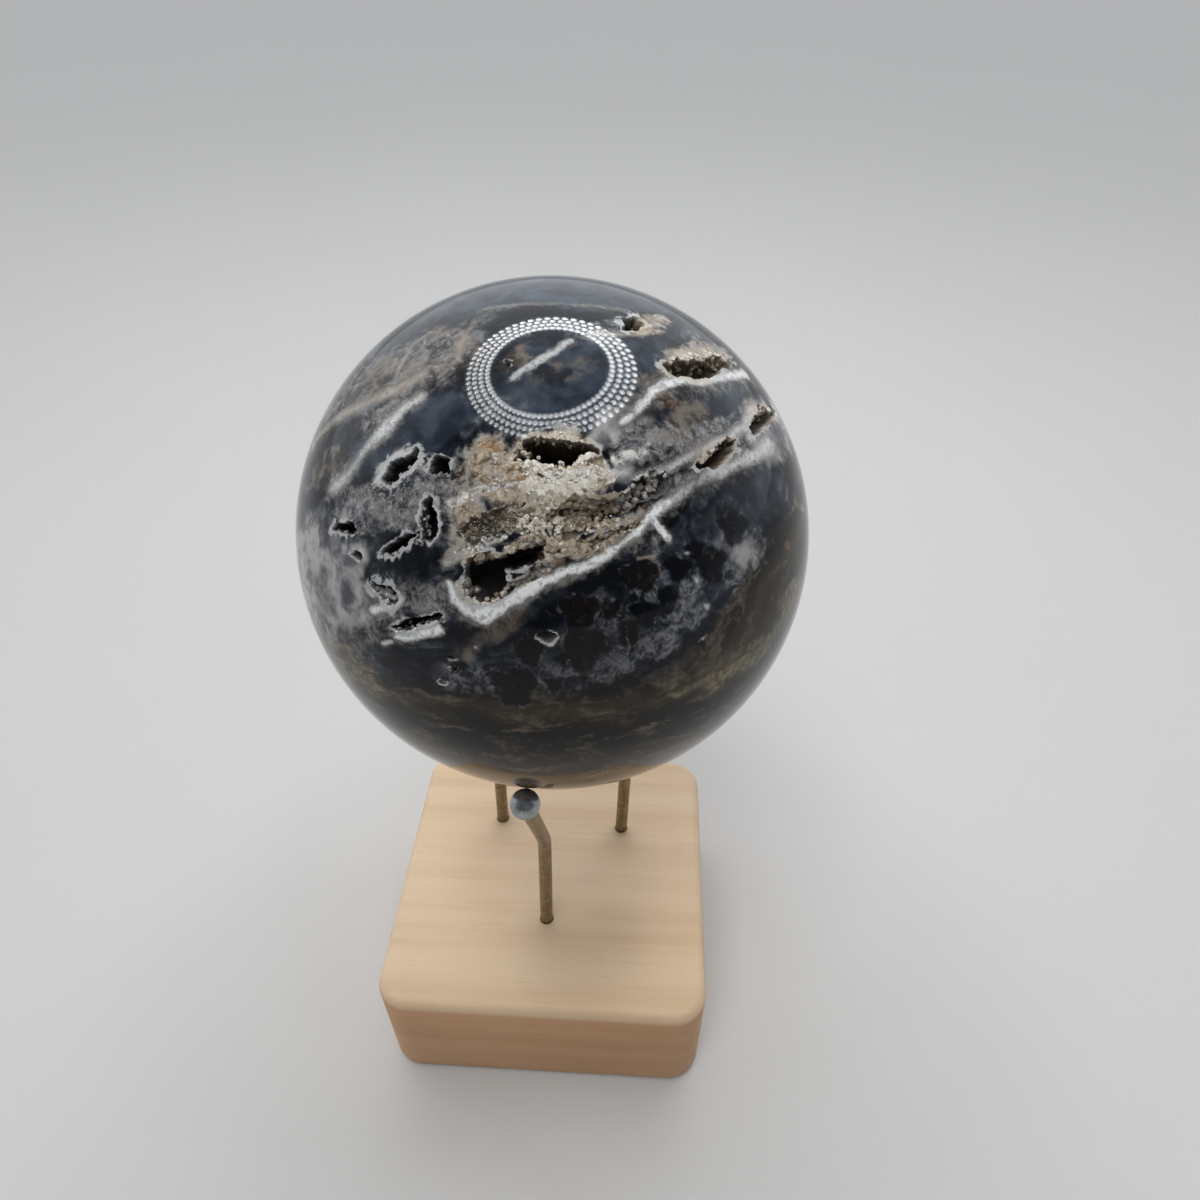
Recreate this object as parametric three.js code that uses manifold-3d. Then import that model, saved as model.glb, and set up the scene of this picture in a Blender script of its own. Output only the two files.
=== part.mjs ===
// Polished stone sphere on a three-prong stand.
//
// A ball of dark druzy agate, about 60 mm across, with crystal-lined vugs that break its
// polished surface. It rests loose on three ball-tipped wires, and the wires are set into
// a small square block of pale wood.
//
// Units are millimetres and +Z is up. The origin lies on the plane of the underside of the
// block, straight below the middle of the sphere. -Y is the front.

import * as THREE from 'three';
import { mergeVertices } from 'three/addons/utils/BufferGeometryUtils.js';
import Module from 'manifold-3d';

// ---- Driving dimensions -------------------------------------------------------------

const STONE_RADIUS = 30;
const STONE_CENTRE_ABOVE_BLOCK = 67.5;

const BLOCK_WIDTH = 50.4;
const BLOCK_DEPTH = 49;
const BLOCK_HEIGHT = 21.5;
const BLOCK_CORNER_RADIUS = 5;
const BLOCK_EDGE_ROUNDING = 1.4;
const BLOCK_OFFSET = { x: -2.4, y: -3.3 };

const WIRE_RADIUS = 1;
const WIRE_BEND_RADIUS = 8;
const WIRE_KNEE_HEIGHT = 22;
const WIRE_TILT = THREE.MathUtils.degToRad(1.5);
const WIRE_SET_DEPTH = 13.5;
const DRILL_START = 1;

const FEET_RADIUS = 12.3;
const FEET_OFFSET = { x: -2.1, y: 0 };
const PRONG_TURN = -2.5;
const PRONGS = [
  { name: 'front', azimuth: -90 + PRONG_TURN },
  { name: 'back_right', azimuth: 30 + PRONG_TURN },
  { name: 'back_left', azimuth: 150 + PRONG_TURN },
];

const TIP_RADIUS = 1.75;
const TIP_BELOW_EQUATOR = THREE.MathUtils.degToRad(36.5);
const TIP_TURN = -1.5;
const TIP_SOCKET_DEPTH = 1.2;

// Every fit between two pieces has this much room.
const FIT = 0.3;

// The face of the stone that shows its vugs: the direction it looks in, in degrees.
const SHOW_AZIMUTH = 7;
const SHOW_ELEVATION = 36;

// Vugs of the stone. across and up place the mouth in millimetres from the middle of the
// show face, as seen square on. half_length and half_width are the mouth's own, turn is
// the angle of its length, and depth is measured towards the middle of the stone. A vug
// with lobes is the join of all of them. side -1 is the hidden face, seen the same way
// through the stone.
const VUGS = [
  // upper cave, with a narrow tail on each side
  { across: 0.2, up: 7.7, half_length: 2.7, half_width: 1.4, turn: -4, depth: 7 },
  { across: 2.9, up: 7.7, half_length: 1.0, half_width: 0.5, turn: 5, depth: 3 },
  { across: -2.3, up: 7.2, half_length: 1.1, half_width: 0.4, turn: 15, depth: 2.5 },
  // lower cave and its arm
  { across: -6.6, up: -3.4, half_length: 2.3, half_width: 2.3, turn: 0, depth: 6.5 },
  { across: -3.2, up: -1.4, half_length: 2.8, half_width: 1.0, turn: 18, depth: 4 },
  // shallow crystal hollow between the caves
  { across: 2.5, up: 2.1, half_length: 3.9, half_width: 1.9, turn: 16, depth: 1.8 },
  { across: 7.5, up: 3.9, half_length: 3.3, half_width: 1.1, turn: 28, depth: 1.5 },
  // pockets of the left side
  { across: -14.0, up: 7.0, half_length: 2.2, half_width: 0.7, turn: 38, depth: 2.5 },
  { across: -10.1, up: 6.9, half_length: 0.9, half_width: 0.8, turn: 0, depth: 2.2 },
  { across: -11.4, up: 2.2, half_length: 2.1, half_width: 0.8, turn: 86, depth: 3 },
  { across: -20.0, up: 1.7, half_length: 1.5, half_width: 0.6, turn: -10, depth: 2 },
  { across: -14.4, up: -0.1, half_length: 1.8, half_width: 0.6, turn: 30, depth: 1.8 },
  { across: -16.2, up: -4.4, half_length: 1.5, half_width: 0.8, turn: -42, depth: 1.3 },
  { across: -13.2, up: -7.3, half_length: 2.5, half_width: 0.6, turn: 12, depth: 2 },
  // pockets of the right side
  { across: 8.2, up: 20.5, half_length: 1.1, half_width: 0.8, turn: 20, depth: 2 },
  { across: 14.8, up: 16.3, half_length: 4.0, half_width: 1.2, turn: 14, depth: 2.8 },
  { across: 21.5, up: 11.3, half_length: 2.7, half_width: 0.8, turn: 32, depth: 2 },
  { across: 15.5, up: 7.3, half_length: 2.4, half_width: 0.8, turn: 32, depth: 2.5 },
  // pockets of the hidden face
  { across: 9.0, up: 5.0, half_length: 3.0, half_width: 1.1, turn: -28, depth: 3, side: -1 },
  { across: -11.0, up: 1.0, half_length: 1.9, half_width: 0.8, turn: -40, depth: 2, side: -1 },
  { across: 3.0, up: -11.0, half_length: 1.4, half_width: 0.8, turn: -15, depth: 1.6, side: -1 },
];

// The outline of a mouth wanders in and out by these shares of its size.
const MOUTH_WAVES = [
  { count: 3, share: 0.12 },
  { count: 5, share: 0.08 },
];

// ---- Facets -------------------------------------------------------------------------

const STONE_DETAIL = 12;
const LARGE_CUTTER_DETAIL = 2;
const SMALL_CUTTER_DETAIL = 1;
const LARGE_VUG_LENGTH = 2.2;
const WIRE_HALF_SIDES = 5;
const WIRE_STEPS = 28;
const HOLE_SIDES = 12;
const BLOCK_CORNER_SEGMENTS = 6;
const BLOCK_EDGE_SEGMENTS = 3;
const TIP_SEGMENTS = 14;
const WELD_DISTANCE = 1e-3;

// ---- Materials ----------------------------------------------------------------------

const stoneFinish = new THREE.MeshStandardMaterial({
  color: 0x2e3136, roughness: 0.18, metalness: 0,
});
const woodFinish = new THREE.MeshStandardMaterial({
  color: 0xcdb698, roughness: 0.6, metalness: 0,
});
const wireFinish = new THREE.MeshStandardMaterial({
  color: 0x6b5a42, roughness: 0.4, metalness: 1,
});
const tipFinish = new THREE.MeshStandardMaterial({
  color: 0x3c4a52, roughness: 0.3, metalness: 1,
});

// ---- Booleans -----------------------------------------------------------------------

const wasm = await Module();
wasm.setup();

/** A closed geometry as a solid that can be joined and cut. */
function toSolid(geometry) {
  const bare = geometry.clone();
  bare.deleteAttribute('normal');
  bare.deleteAttribute('uv');
  const welded = mergeVertices(bare, WELD_DISTANCE);
  return new wasm.Manifold(new wasm.Mesh({
    numProp: 3,
    vertProperties: new Float32Array(welded.attributes.position.array),
    triVerts: new Uint32Array(welded.index.array),
  }));
}

/** A joined or cut solid as a geometry. */
function toGeometry(solid) {
  const mesh = solid.getMesh();
  const geometry = new THREE.BufferGeometry();
  geometry.setAttribute('position', new THREE.BufferAttribute(mesh.vertProperties, 3));
  geometry.setIndex(new THREE.BufferAttribute(mesh.triVerts, 1));
  geometry.computeVertexNormals();
  return geometry;
}

// ---- The stone ----------------------------------------------------------------------

const stoneCentre = new THREE.Vector3(0, 0, BLOCK_HEIGHT + STONE_CENTRE_ABOVE_BLOCK);

/** The three directions of the show face: across, up, and out towards its viewer. */
function showFaceAxes() {
  const azimuth = THREE.MathUtils.degToRad(SHOW_AZIMUTH);
  const elevation = THREE.MathUtils.degToRad(SHOW_ELEVATION);
  const across = new THREE.Vector3(Math.cos(azimuth), Math.sin(azimuth), 0);
  const outwards = new THREE.Vector3(
    Math.sin(azimuth) * Math.cos(elevation),
    -Math.cos(azimuth) * Math.cos(elevation),
    Math.sin(elevation),
  );
  const up = new THREE.Vector3().crossVectors(outwards, across);
  return { across, up, outwards };
}

const face = showFaceAxes();

/** The point at a height over (or depth under) a place on the show or hidden face. */
function stonePoint(across, up, height, side = 1) {
  const outwards = side * Math.sqrt(STONE_RADIUS ** 2 - across ** 2 - up ** 2);
  return new THREE.Vector3()
    .addScaledVector(face.across, across)
    .addScaledVector(face.up, up)
    .addScaledVector(face.outwards, outwards)
    .multiplyScalar((STONE_RADIUS + height) / STONE_RADIUS);
}

/** How far the outline of a mouth stands in or out in one direction. */
function mouthOutline(angle, seed) {
  return 1 + MOUTH_WAVES.reduce(
    (sum, wave) => sum + wave.share * Math.sin(wave.count * angle + seed * wave.count), 0);
}

/** The body of a vug: a lumpy egg that follows the curve of the stone. */
function vugCutter(vug, seed) {
  const large = vug.half_length > LARGE_VUG_LENGTH;
  const egg = mergeVertices(bareIcosphere(large ? LARGE_CUTTER_DETAIL : SMALL_CUTTER_DETAIL));
  const turn = THREE.MathUtils.degToRad(vug.turn);
  const place = egg.attributes.position;
  for (let i = 0; i < place.count; i += 1) {
    const spread = mouthOutline(Math.atan2(place.getY(i), place.getX(i)), seed);
    const along = place.getX(i) * vug.half_length * spread;
    const beside = place.getY(i) * vug.half_width * spread;
    const point = stonePoint(
      vug.across + along * Math.cos(turn) - beside * Math.sin(turn),
      vug.up + along * Math.sin(turn) + beside * Math.cos(turn),
      place.getZ(i) * vug.depth,
      vug.side,
    );
    place.setXYZ(i, point.x, point.y, point.z);
  }
  return toSolid(vug.side === -1 ? turnedInsideOut(egg) : egg);
}

/** A unit ball of equal triangles, with its positions alone. */
function bareIcosphere(detail) {
  const ball = new THREE.IcosahedronGeometry(1, detail);
  ball.deleteAttribute('normal');
  ball.deleteAttribute('uv');
  return ball;
}

/** The same faces with their winding reversed, for a shape that was mirrored. */
function turnedInsideOut(geometry) {
  const index = geometry.index.array;
  for (let i = 0; i < index.length; i += 3) {
    [index[i], index[i + 1]] = [index[i + 1], index[i]];
  }
  return geometry;
}

/** The polished ball with its vugs cut in. */
function makeStone() {
  const ball = new THREE.IcosahedronGeometry(STONE_RADIUS, STONE_DETAIL);
  const cut = VUGS.reduce(
    (solid, vug, seed) => solid.subtract(vugCutter(vug, seed)), toSolid(ball));
  const mesh = new THREE.Mesh(toGeometry(cut), stoneFinish);
  mesh.name = 'stone_sphere';
  mesh.position.copy(stoneCentre);
  return mesh;
}

// ---- The stand ----------------------------------------------------------------------

/** A level direction, from its azimuth in degrees. */
function level(azimuthDegrees) {
  const azimuth = THREE.MathUtils.degToRad(azimuthDegrees);
  return new THREE.Vector3(Math.cos(azimuth), Math.sin(azimuth), 0);
}

/** Where a prong enters the block, and where its tip holds the stone. */
function prongEnds(azimuthDegrees) {
  const foot = new THREE.Vector3(FEET_OFFSET.x, FEET_OFFSET.y, BLOCK_HEIGHT)
    .addScaledVector(level(azimuthDegrees), FEET_RADIUS);
  const reach = STONE_RADIUS + FIT + TIP_RADIUS;
  const tip = stoneCentre.clone()
    .addScaledVector(level(azimuthDegrees + TIP_TURN), reach * Math.cos(TIP_BELOW_EQUATOR));
  tip.z -= reach * Math.sin(TIP_BELOW_EQUATOR);
  return { foot, tip };
}

// The wires stand in the block a little off upright.
const upright = new THREE.Vector3(Math.sin(WIRE_TILT), 0, Math.cos(WIRE_TILT));

/** The middle line of a wire: a straight stem, one round bend at the knee, a straight arm. */
class WireLine extends THREE.Curve {
  constructor(foot, tip) {
    super();
    this.foot = foot;
    const knee = foot.clone().addScaledVector(upright, WIRE_KNEE_HEIGHT);
    const arm = tip.clone().sub(knee);
    this.armDirection = arm.clone().normalize();
    const turn = upright.angleTo(arm);
    this.lean = arm.clone().addScaledVector(upright, -arm.dot(upright)).normalize();
    const trim = WIRE_BEND_RADIUS * Math.tan(turn / 2);
    this.stem = WIRE_KNEE_HEIGHT - trim;
    this.bend = WIRE_BEND_RADIUS * turn;
    this.end = arm.length() - trim - TIP_RADIUS + TIP_SOCKET_DEPTH;
  }

  getPoint(t, target = new THREE.Vector3()) {
    let rest = t * (WIRE_SET_DEPTH + this.stem + this.bend + this.end) - WIRE_SET_DEPTH;
    target.copy(this.foot).addScaledVector(upright, Math.min(rest, this.stem));
    rest -= this.stem;
    if (rest > 0) {
      const angle = Math.min(rest, this.bend) / WIRE_BEND_RADIUS;
      target.addScaledVector(upright, WIRE_BEND_RADIUS * Math.sin(angle))
        .addScaledVector(this.lean, WIRE_BEND_RADIUS * (1 - Math.cos(angle)));
      rest -= this.bend;
    }
    return rest > 0 ? target.addScaledVector(this.armDirection, rest) : target;
  }
}

/** A bent wire, from inside the block to inside its tip. */
function makeWire(name, line) {
  const section = new THREE.Shape();
  section.absarc(0, 0, WIRE_RADIUS, 0, 2 * Math.PI);
  const geometry = new THREE.ExtrudeGeometry(section, {
    extrudePath: line, steps: WIRE_STEPS, curveSegments: WIRE_HALF_SIDES, bevelEnabled: false,
  });
  const mesh = new THREE.Mesh(geometry, wireFinish);
  mesh.name = `prong_${name}`;
  return mesh;
}

/** A round pin, used to drill the block and the tips, that starts at a point. */
function drill(start, direction, radius, length) {
  const pin = new THREE.CylinderGeometry(radius, radius, length, HOLE_SIDES);
  pin.translate(0, length / 2, 0);
  pin.applyQuaternion(new THREE.Quaternion()
    .setFromUnitVectors(new THREE.Vector3(0, 1, 0), direction));
  pin.translate(start.x, start.y, start.z);
  return toSolid(pin);
}

/** The ball on the end of a wire, with the socket that the wire sits in. */
function makeTip(name, centre, direction) {
  const ball = new THREE.SphereGeometry(TIP_RADIUS, TIP_SEGMENTS, TIP_SEGMENTS / 2);
  const outside = direction.clone().multiplyScalar(-2 * TIP_RADIUS);
  const reach = TIP_RADIUS + TIP_SOCKET_DEPTH + FIT;
  const socket = drill(outside, direction, WIRE_RADIUS + FIT, reach);
  const mesh = new THREE.Mesh(toGeometry(toSolid(ball).subtract(socket)), tipFinish);
  mesh.name = `tip_${name}`;
  mesh.position.copy(centre);
  return mesh;
}

/** The wooden block, with rounded corners, eased edges and a hole for each wire. */
function makeBlock(feet) {
  const inset = BLOCK_EDGE_ROUNDING;
  const x = BLOCK_WIDTH / 2 - inset;
  const y = BLOCK_DEPTH / 2 - inset;
  const corner = BLOCK_CORNER_RADIUS - inset;
  const outline = new THREE.Shape();
  outline.absarc(x - corner, y - corner, corner, 0, Math.PI / 2);
  outline.absarc(corner - x, y - corner, corner, Math.PI / 2, Math.PI);
  outline.absarc(corner - x, corner - y, corner, Math.PI, 1.5 * Math.PI);
  outline.absarc(x - corner, corner - y, corner, 1.5 * Math.PI, 2 * Math.PI);
  const block = new THREE.ExtrudeGeometry(outline, {
    depth: BLOCK_HEIGHT - 2 * inset,
    curveSegments: BLOCK_CORNER_SEGMENTS,
    bevelThickness: inset,
    bevelSize: inset,
    bevelSegments: BLOCK_EDGE_SEGMENTS,
  });
  block.translate(BLOCK_OFFSET.x, BLOCK_OFFSET.y, inset);
  const down = upright.clone().negate();
  const clear = upright.clone().multiplyScalar(DRILL_START);
  const depth = DRILL_START + WIRE_SET_DEPTH + FIT;
  const drilled = feet.reduce(
    (solid, foot) => solid.subtract(
      drill(foot.clone().add(clear), down, WIRE_RADIUS + FIT, depth)), toSolid(block));
  const mesh = new THREE.Mesh(toGeometry(drilled), woodFinish);
  mesh.name = 'wood_base';
  return mesh;
}

/** The block, the three wires and their tips. */
function makeStand() {
  const stand = new THREE.Group();
  const feet = [];
  for (const { name, azimuth } of PRONGS) {
    const { foot, tip } = prongEnds(azimuth);
    const line = new WireLine(foot, tip);
    stand.add(makeWire(name, line), makeTip(name, tip, line.armDirection));
    feet.push(foot);
  }
  stand.add(makeBlock(feet));
  return stand;
}

// ---- The whole object ---------------------------------------------------------------

const ornament = new THREE.Group();
ornament.add(makeStand(), makeStone());

export default ornament;
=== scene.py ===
"""A polished ball of banded vuggy stone resting on three ball-tipped wires set in a wood block.

Lengths in the classes are in millimetres. The pieces are written to Blender in metres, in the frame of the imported
model, where the block stands on the floor at the origin.
"""

import logging  # noqa: E402
import math  # noqa: E402
from collections.abc import Iterable, Sequence  # noqa: E402
from dataclasses import dataclass, field, replace  # noqa: E402
from enum import Enum  # noqa: E402
from typing import Any  # noqa: E402

import bmesh  # noqa: E402
import bpy  # noqa: E402
import numpy as np  # noqa: E402
from mathutils import Matrix, Vector, noise  # noqa: E402


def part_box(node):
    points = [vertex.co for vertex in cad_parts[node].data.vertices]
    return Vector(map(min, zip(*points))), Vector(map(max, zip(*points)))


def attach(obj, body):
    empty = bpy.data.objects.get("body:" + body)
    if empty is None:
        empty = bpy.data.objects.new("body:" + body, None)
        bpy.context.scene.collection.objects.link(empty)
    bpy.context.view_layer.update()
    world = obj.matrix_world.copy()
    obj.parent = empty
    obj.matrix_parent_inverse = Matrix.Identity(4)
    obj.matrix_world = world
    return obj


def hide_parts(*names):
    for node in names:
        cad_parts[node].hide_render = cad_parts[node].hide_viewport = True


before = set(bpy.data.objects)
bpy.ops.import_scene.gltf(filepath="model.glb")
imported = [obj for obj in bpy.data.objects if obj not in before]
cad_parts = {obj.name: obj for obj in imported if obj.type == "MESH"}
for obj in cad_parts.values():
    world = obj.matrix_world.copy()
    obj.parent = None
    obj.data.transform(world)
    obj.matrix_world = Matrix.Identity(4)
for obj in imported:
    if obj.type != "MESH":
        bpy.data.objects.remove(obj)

log = logging.getLogger("ornament")

MM = 0.001
ROOT = "root"
UP = Vector((0.0, 0.0, 1.0))
FAR = 9.0  # a distance or share that counts as nowhere near

STONE_RISE = 67.5  # the stone's middle over the top of the block
PRONG_AZIMUTHS = {"front": -92.5, "back_right": 27.5, "back_left": 147.5}
PRONG_MIDDLE = -2.1  # the middle of the circle of holes, along x
PRONG_CIRCLE = 12.3
WIRE_TILT = 1.5
LAMP_TONE = (1.0, 0.985, 0.96)

Colour = tuple[float, float, float]
Pair = tuple[Colour, Colour]
Stops = tuple[tuple[float, Colour], ...]


class Slot(Enum):
    """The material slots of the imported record."""

    STONE = "stone"
    WOOD = "wood"
    WIRE = "wire"
    TIP = "tip"


class Mark(Enum):
    """The kinds of soft-edged patch in the stone, each kept as a weight on the mesh."""

    STEEL = "steel"
    PALE = "pale"
    GREY = "grey"
    BROWN = "brown"
    HAZE = "haze"
    CREAM = "cream"
    SUGAR = "sugar"
    RUST = "rust"
    INK = "ink"
    OLIVE = "olive"


# ---------------------------------------------------------------- numbers and small tools


def smoothstep(low: float, high: float, value: np.ndarray) -> np.ndarray:
    """Ramps from 0 to 1 with soft ends.

    Args:
        low: The value that gives 0.
        high: The value that gives 1; it may be the smaller one.
        value: The values to ramp.

    Returns:
        The ramp, in the shape of value.
    """
    t = np.clip((value - low) / (high - low), 0.0, 1.0)
    return t * t * (3.0 - 2.0 * t)


def dome(reach: np.ndarray) -> np.ndarray:
    """The height of a round dome, from 1 at reach 0 to 0 at reach 1 and beyond."""
    return np.sqrt(np.clip(1.0 - reach**2, 0.0, 1.0))


@dataclass
class Grain:
    """Smooth noise that is the same at every run."""

    seed: int
    lattice: np.ndarray = field(init=False)

    def __post_init__(self) -> None:
        """Fills the lattice that the noise is read from."""
        self.lattice = np.random.default_rng(self.seed).random((32, 32, 32)) * 2.0 - 1.0

    def at(self, points: np.ndarray, size: float) -> np.ndarray:
        """Reads the noise.

        Args:
            points: Rows of three coordinates.
            size: The width of one lump, in the points' unit.

        Returns:
            One value from -1 to 1 for each point.
        """
        place = points / size
        cell = np.floor(place).astype(int)
        t = place - cell
        t = t * t * (3.0 - 2.0 * t)
        total = np.zeros(len(points))
        for corner in range(8):
            step = np.array([corner & 1, corner >> 1 & 1, corner >> 2 & 1])
            share = np.prod(np.where(step == 1, t, 1.0 - t), axis=1)
            x, y, z = ((cell + step) & 31).T
            total += share * self.lattice[x, y, z]
        return total

    def layered(self, points: np.ndarray, size: float, layers: int) -> np.ndarray:
        """Adds finer and weaker noise to the first.

        Args:
            points: Rows of three coordinates.
            size: The width of the largest lump.
            layers: How many sizes are added, each half the one before.

        Returns:
            One value from about -1 to 1 for each point.
        """
        total = np.zeros(len(points))
        for layer in range(layers):
            total += self.at(points + 7.3 * layer, size / 2**layer) / 2**layer
        return total / 1.5


def turn_to(way: Vector) -> Matrix:
    """The turn that leads the upright axis to a direction."""
    return UP.rotation_difference(way).to_matrix().to_4x4()


def level(azimuth: float) -> Vector:
    """The level direction at an azimuth in degrees."""
    return Vector((math.cos(math.radians(azimuth)), math.sin(math.radians(azimuth)), 0.0))


def add(name: str, data: bpy.types.ID) -> bpy.types.Object:
    """Adds an object with its data to the scene."""
    made = bpy.data.objects.new(name, data)
    bpy.context.scene.collection.objects.link(made)
    return made


def to_object(name: str, bm: bmesh.types.BMesh, smooth_angle: float | None = 40.0) -> bpy.types.Object:
    """Turns a finished bmesh into an object of the scene and frees it.

    Args:
        name: The new object's name.
        bm: The bmesh, in millimetres in the frame of the model.
        smooth_angle: Edges sharper than this many degrees stay crisp; None keeps flat faces.

    Returns:
        The object, at the origin, in metres.
    """
    bmesh.ops.scale(bm, vec=(MM, MM, MM), verts=bm.verts[:])
    bmesh.ops.recalc_face_normals(bm, faces=bm.faces[:])
    mesh = bpy.data.meshes.new(name)
    bm.to_mesh(mesh)
    bm.free()
    if smooth_angle is not None:
        mesh.shade_smooth()
        mesh.set_sharp_from_angle(angle=math.radians(smooth_angle))
    return add(name, mesh)


def dress(piece: bpy.types.Object, material: bpy.types.Material, nodes: Sequence[str]) -> None:
    """Gives a piece its material, its body and the solids that it stands for.

    Args:
        piece: The finished object.
        material: Its finish.
        nodes: The solids that it replaces.
    """
    piece.data.materials.clear()
    piece.data.materials.append(material)
    if nodes:
        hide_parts(*nodes)
    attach(piece, ROOT)
    log.info("%s: %d faces", piece.name, len(piece.data.polygons))


# ---------------------------------------------------------------- shader wiring


@dataclass(frozen=True)
class Signal:
    """One output socket of a material, on which arithmetic adds Math nodes."""

    bench: "Bench"
    socket: bpy.types.NodeSocket

    def math(self, operation: str, *others: "Signal | float") -> "Signal":
        """Adds a Math node whose first input is this signal."""
        return self.bench.node("ShaderNodeMath", {"operation": operation}, dict(enumerate((self, *others))))

    def __add__(self, other: "Signal | float") -> "Signal":
        """Adds."""
        return self.math("ADD", other)

    __radd__ = __add__

    def __mul__(self, other: "Signal | float") -> "Signal":
        """Multiplies."""
        return self.math("MULTIPLY", other)

    __rmul__ = __mul__

    def __sub__(self, other: "Signal | float") -> "Signal":
        """Subtracts the other."""
        return self.math("SUBTRACT", other)

    def __rsub__(self, other: float) -> "Signal":
        """Subtracts this from a number."""
        return self.bench.node("ShaderNodeMath", {"operation": "SUBTRACT"}, {0: other, 1: self})

    def __truediv__(self, other: "Signal | float") -> "Signal":
        """Divides by the other."""
        return self.math("DIVIDE", other)

    def ramp(self, low: float, high: float) -> "Signal":
        """Goes smoothly from 0 at low to 1 at high, which may be the smaller one."""
        if low > high:
            return 1.0 - self.ramp(high, low)
        settings = {"interpolation_type": "SMOOTHSTEP"}
        return self.bench.node("ShaderNodeMapRange", settings, {"Value": self, "From Min": low, "From Max": high})


@dataclass
class Bench:
    """Where one material is wired."""

    name: str
    material: bpy.types.Material = field(init=False)
    shader: bpy.types.Node = field(init=False)

    def __post_init__(self) -> None:
        """Makes the empty material with its shader and output."""
        self.material = bpy.data.materials.new(self.name)
        self.material.use_nodes = True
        tree = self.material.node_tree
        tree.nodes.clear()
        self.shader = tree.nodes.new("ShaderNodeBsdfPrincipled")
        output = tree.nodes.new("ShaderNodeOutputMaterial")
        tree.links.new(self.shader.outputs[0], output.inputs["Surface"])

    def feed(self, target: bpy.types.NodeSocket, value: Any) -> None:
        """Links a signal to a socket or sets the socket's own value.

        Args:
            target: The socket.
            value: A signal, a number or a tuple; a colour may leave out its alpha.
        """
        if isinstance(value, Signal):
            self.material.node_tree.links.new(value.socket, target)
        elif target.type == "RGBA" and len(value) == 3:
            target.default_value = (*value, 1.0)
        else:
            target.default_value = value

    def node(
        self, kind: str, settings: dict[str, Any] | None = None, inputs: dict[Any, Any] | None = None, output: Any = 0
    ) -> Signal:
        """Adds any node.

        Args:
            kind: The node's type.
            settings: Its own properties, set first; stops are a colour ramp's (place, colour) pairs.
            inputs: Values or signals for its sockets, by name or number.
            output: The name or number of the output wanted.

        Returns:
            That output as a signal.
        """
        made = self.material.node_tree.nodes.new(kind)
        for key, value in (settings or {}).items():
            if key == "stops":
                stops = made.color_ramp.elements
                while len(stops) < len(value):
                    stops.new(1.0)
                for stop, (place, colour) in zip(stops, value):
                    stop.position, stop.color = place, (*colour, 1.0)
            else:
                setattr(made, key, value)
        for key, value in (inputs or {}).items():
            self.feed(made.inputs[key], value)
        return Signal(self, made.outputs[output])

    def place(self) -> Signal:
        """The piece's own coordinates, in millimetres."""
        here = self.node("ShaderNodeTexCoord", output="Object")
        return self.vector("SCALE", here, scale=1.0 / MM)

    def vector(self, operation: str, first: Any, second: Any = None, scale: float | None = None) -> Signal:
        """Adds a Vector Math node; a dot product comes out as a number."""
        inputs: dict[Any, Any] = {0: first}
        if second is not None:
            inputs[1] = second
        if scale is not None:
            inputs["Scale"] = scale
        output = "Value" if operation == "DOT_PRODUCT" else "Vector"
        return self.node("ShaderNodeVectorMath", {"operation": operation}, inputs, output)

    def attribute(self, name: str) -> Signal:
        """A number kept on the mesh."""
        return self.node("ShaderNodeAttribute", {"attribute_name": name}, output="Fac")

    def noise(self, place: Signal, scale: float, detail: float = 2.0, rough: float = 0.5) -> Signal:
        """Cloudy noise from 0 to 1.

        Args:
            place: Where it is read.
            scale: Lumps for each unit of place.
            detail: How many finer layers it has.
            rough: How strong the finer layers are.

        Returns:
            The noise.
        """
        inputs = {"Vector": place, "Scale": scale, "Detail": detail, "Roughness": rough}
        return self.node("ShaderNodeTexNoise", {"noise_dimensions": "3D"}, inputs, "Fac")

    def cells(self, place: Signal, scale: float, output: str = "Distance") -> Signal:
        """Crystal-like cells: their distance or their random colour."""
        return self.node("ShaderNodeTexVoronoi", {"feature": "F1"}, {"Vector": place, "Scale": scale}, output)

    def mix(self, first: Any, second: Any, factor: Any, blend: str = "MIX") -> Signal:
        """Mixes two colours.

        Args:
            first: The colour at factor 0.
            second: The colour at factor 1.
            factor: How much of the second, from 0 to 1.
            blend: How the two are combined.

        Returns:
            The mixed colour.
        """
        settings = {"data_type": "RGBA", "blend_type": blend, "clamp_factor": True}
        return self.node("ShaderNodeMix", settings, {0: factor, 6: first, 7: second}, 2)

    def bump(self, height: Signal, strength: float, distance: float) -> Signal:
        """Bumps the surface.

        Args:
            height: The height of the relief, from 0 to 1.
            strength: How much of it shows.
            distance: The height in millimetres that 1 stands for.

        Returns:
            The new normal.
        """
        inputs = {"Strength": strength, "Distance": distance * MM, "Height": height}
        return self.node("ShaderNodeBump", None, inputs)

    def ramp(self, stops: Stops, place: Signal) -> Signal:
        """Reads a colour ramp, given as (place, colour) stops."""
        return self.node("ShaderNodeValToRGB", {"stops": stops}, {"Fac": place}, "Color")

    def finish(self, **sockets: Any) -> bpy.types.Material:
        """Feeds the shader's sockets, named with underscores for spaces, and returns the material."""
        for name, value in sockets.items():
            self.feed(self.shader.inputs[name.replace("_", " ").title().replace("Ior", "IOR")], value)
        return self.material


# ---------------------------------------------------------------- the stone's own map


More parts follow.
